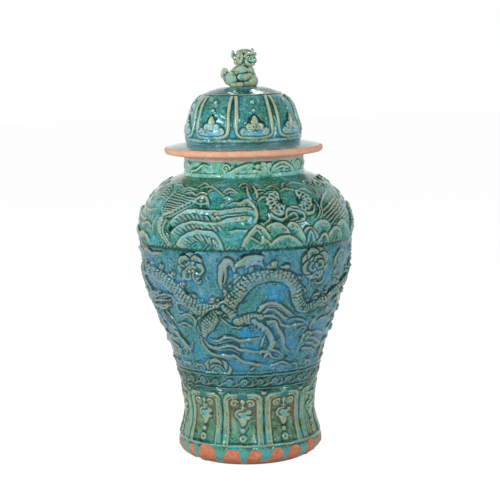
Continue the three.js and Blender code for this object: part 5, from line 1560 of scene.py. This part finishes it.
def build_lid():
    """The lid's dome, its brim, which is glazed on top only, and the collar that hangs in the neck"""
    green = glaze("dome_glaze", "3f8c8a", "45826e", "b2dae0", "b4bc92", "06383a", "58a8c4", tan="c0bc8c",
                  moss="105248", clay=("dda587", "e4b295"))
    dome = Canvas(dome_radius, DOME_SEAM, DOME_EDGE, 140, 320)
    lid_ornament(dome)
    dome.hue -= 1.0 * dome.past(562, 4) - 0.5 * dome.past(530, -25)
    crown = [(38, 574.2), (34, 575.1), (30, 575.8), (22, 576), (0, 576.1)]
    inner = [(0, 567), (40, 563), (63, 548), (75, 524), (79, DOME_SEAM)]
    nodes = ["lid_dome", "lid_frames", *[f"lid_cloud_{k + 1}" for k in range(LID_PANELS)]]
    sculpted("dome_wall", dome, crown, "lid", nodes, green, sink=(0.4, 0), axis=True,
             before=inner, seed=11, clay=0.0)

    brim = [
        (73, 474.8), (100, 474.8), (117, 474.9), (120, 475.6), (121.8, 477), (122.6, 479), (122.8, 481),
        (122.5, 483), (121.4, 484.6), (119.5, 485.3), (114, 486.6), (108, 488.2), (100, 489.6), (95, 490.5),
        (91.5, 491.4), (89, 492), (79, 491), (73, 491),
    ]
    azimuths = np.arange(480) * 0.75
    rings = around(*stepped(brim, 0.9).T, azimuths)
    rings[..., 2] += 0.12 * ripple(rings, 90, 21)
    r = np.hypot(rings[..., 0], rings[..., 1])
    # The glaze covers the brim's top, round the dome, and ends in an uneven edge at its rim
    top = (rings[..., 2] > 484.9) & (r > 85)
    bare = 1 - np.clip((rings[..., 2] - 484.6 - 0.4 * ripple(rings, 25, 22)) / 1.0, 0, 1) * top
    fields = {**dict.fromkeys(FIELDS, 0 * r), "crest": 0.25 * ripple(rings, 16, 23), "bare": bare}
    grey = glaze("brim_glaze", "7a9294", "688a88", "b8c6d0", "b4b49c", "2a4c4c", "7c9eb0", tan="c0b49c",
                 crests=0.4, moss="54807a", clay=("d89f80", "e0ac8e"))
    turned("brim_plate", rings, fields, "lid", ["lid_brim"], grey, True)

    collar = [(73, 458), (74, 456.9), (79, 456.9), (80.4, 458.5), (80.5, 461), (80.5, 474.7), (73, 474.7)]
    rings = around(*stepped(collar, 1.2).T, azimuths)
    none = 0 * rings[..., 0]
    fields = {**dict.fromkeys(FIELDS, none), "bare": none + 1}
    turned("collar_ring", rings, fields, "lid", ["lid_collar"], green, True)


def stepped(points, step):
    """A closed outline with its sides cut into steps of about step mm, at most 24 each"""
    points = np.array(points, float)
    out = []
    for p, q in zip(points, np.roll(points, -1, axis=0)):
        count = min(max(int(round(np.linalg.norm(q - p) / step)), 1), 24)
        out += [p + (q - p) * t / count for t in range(count)]
    return np.array(out)


# Stage, lights and camera

# The lens in mm, the camera's place in metres, how far it looks down and leans in degrees, how bright the
# floor is, and the height in metres that the lamps point at
LENS = 125.3
CAMERA_PLACE = (0.0064, -2.6985, 0.6867)
PITCH = 7.72
ROLL = 1.3
FLOOR_WHITE = 1.155
JAR_MIDDLE = 0.32


def stage():
    """A pale floor and the studio round it: even light, a white wall behind the jar, a dim room in front"""
    mesh = bpy.data.meshes.new("floor")
    mesh.from_pydata([(-9, -9, 0), (9, -9, 0), (9, 9, 0), (-9, 9, 0)], [], [(0, 1, 2, 3)])
    floor = bpy.data.objects.new("floor", mesh)
    bpy.context.scene.collection.objects.link(floor)
    f = Finish("floor_paper")
    rays = f.node("LightPath")
    seen = (Wire(f, rays.outputs["Is Camera Ray"]) + Wire(f, rays.outputs["Is Glossy Ray"]) * 0.15).clip()
    paper = f.wire("BsdfDiffuse", 0, {}, {"Color": (0.86, 0.86, 0.86, 1)})
    white = f.wire("Emission", 0, {}, {"Strength": FLOOR_WHITE})
    f.close(f.wire("MixShader", 0, {}, {0: seen * 0.8, 1: paper, 2: white}))
    mesh.materials.append(f.material)

    studio = Finish("studio", world=True)
    rays = studio.node("LightPath")
    camera_ray = Wire(studio, rays.outputs["Is Camera Ray"])
    glossy_ray = Wire(studio, rays.outputs["Is Glossy Ray"])
    way = studio.node("SeparateXYZ", {}, {0: Wire(studio, studio.node("TexCoord").outputs["Generated"])})
    back = studio.band(Wire(studio, way.outputs[1]), 0.15, 0.75)
    strength = glossy_ray * (0.1 + 0.95 * back) + (1 - glossy_ray) * 0.36
    studio.close(studio.wire("Background", 0, {}, {"Strength": camera_ray + (1 - camera_ray) * strength,
                                                   "Color": (1, 1, 1, 1)}))


def lamp(name, azimuth, elevation, distance, size, power):
    """A rectangular lamp that points at the jar's middle, seen from it at an azimuth and an elevation"""
    data = bpy.data.lights.new(name, "AREA")
    data.shape = "RECTANGLE"
    data.size, data.size_y = size
    data.energy = power
    obj = bpy.data.objects.new(name, data)
    bpy.context.scene.collection.objects.link(obj)
    a, e = math.radians(azimuth), math.radians(elevation)
    away = Vector((math.sin(a) * math.cos(e), -math.cos(a) * math.cos(e), math.sin(e)))
    obj.location = Vector((0, 0, JAR_MIDDLE)) + away * distance
    obj.rotation_euler = away.to_track_quat("Z", "Y").to_euler()


def lights():
    """Four soft lamps: key, front, fill and back"""
    lamp("key_softbox", -52, 20, 1.9, (0.46, 0.5), 19)
    lamp("front_softbox", 8, 20, 2.2, (0.26, 0.3), 9.5)
    lamp("fill_softbox", 64, 18, 2.0, (0.24, 0.6), 8.5)
    lamp("back_softbox", 175, 50, 2.2, (0.6, 0.6), 12)


def camera():
    """The photograph's camera: a long lens that looks down on the jar a little and leans"""
    data = bpy.data.cameras.new("camera")
    data.lens = LENS
    data.sensor_width = 36
    obj = bpy.data.objects.new("camera", data)
    bpy.context.scene.collection.objects.link(obj)
    look = Matrix.Rotation(math.pi / 2 - math.radians(PITCH), 4, "X")
    lean = Matrix.Rotation(-math.radians(ROLL), 4, "Z")
    obj.matrix_world = Matrix.Translation(CAMERA_PLACE) @ look @ lean
    bpy.context.scene.camera = obj


camera()
stage()
lights()
build_jar()
build_lid()
build_lion()
bpy.context.scene.view_settings.view_transform = "Standard"
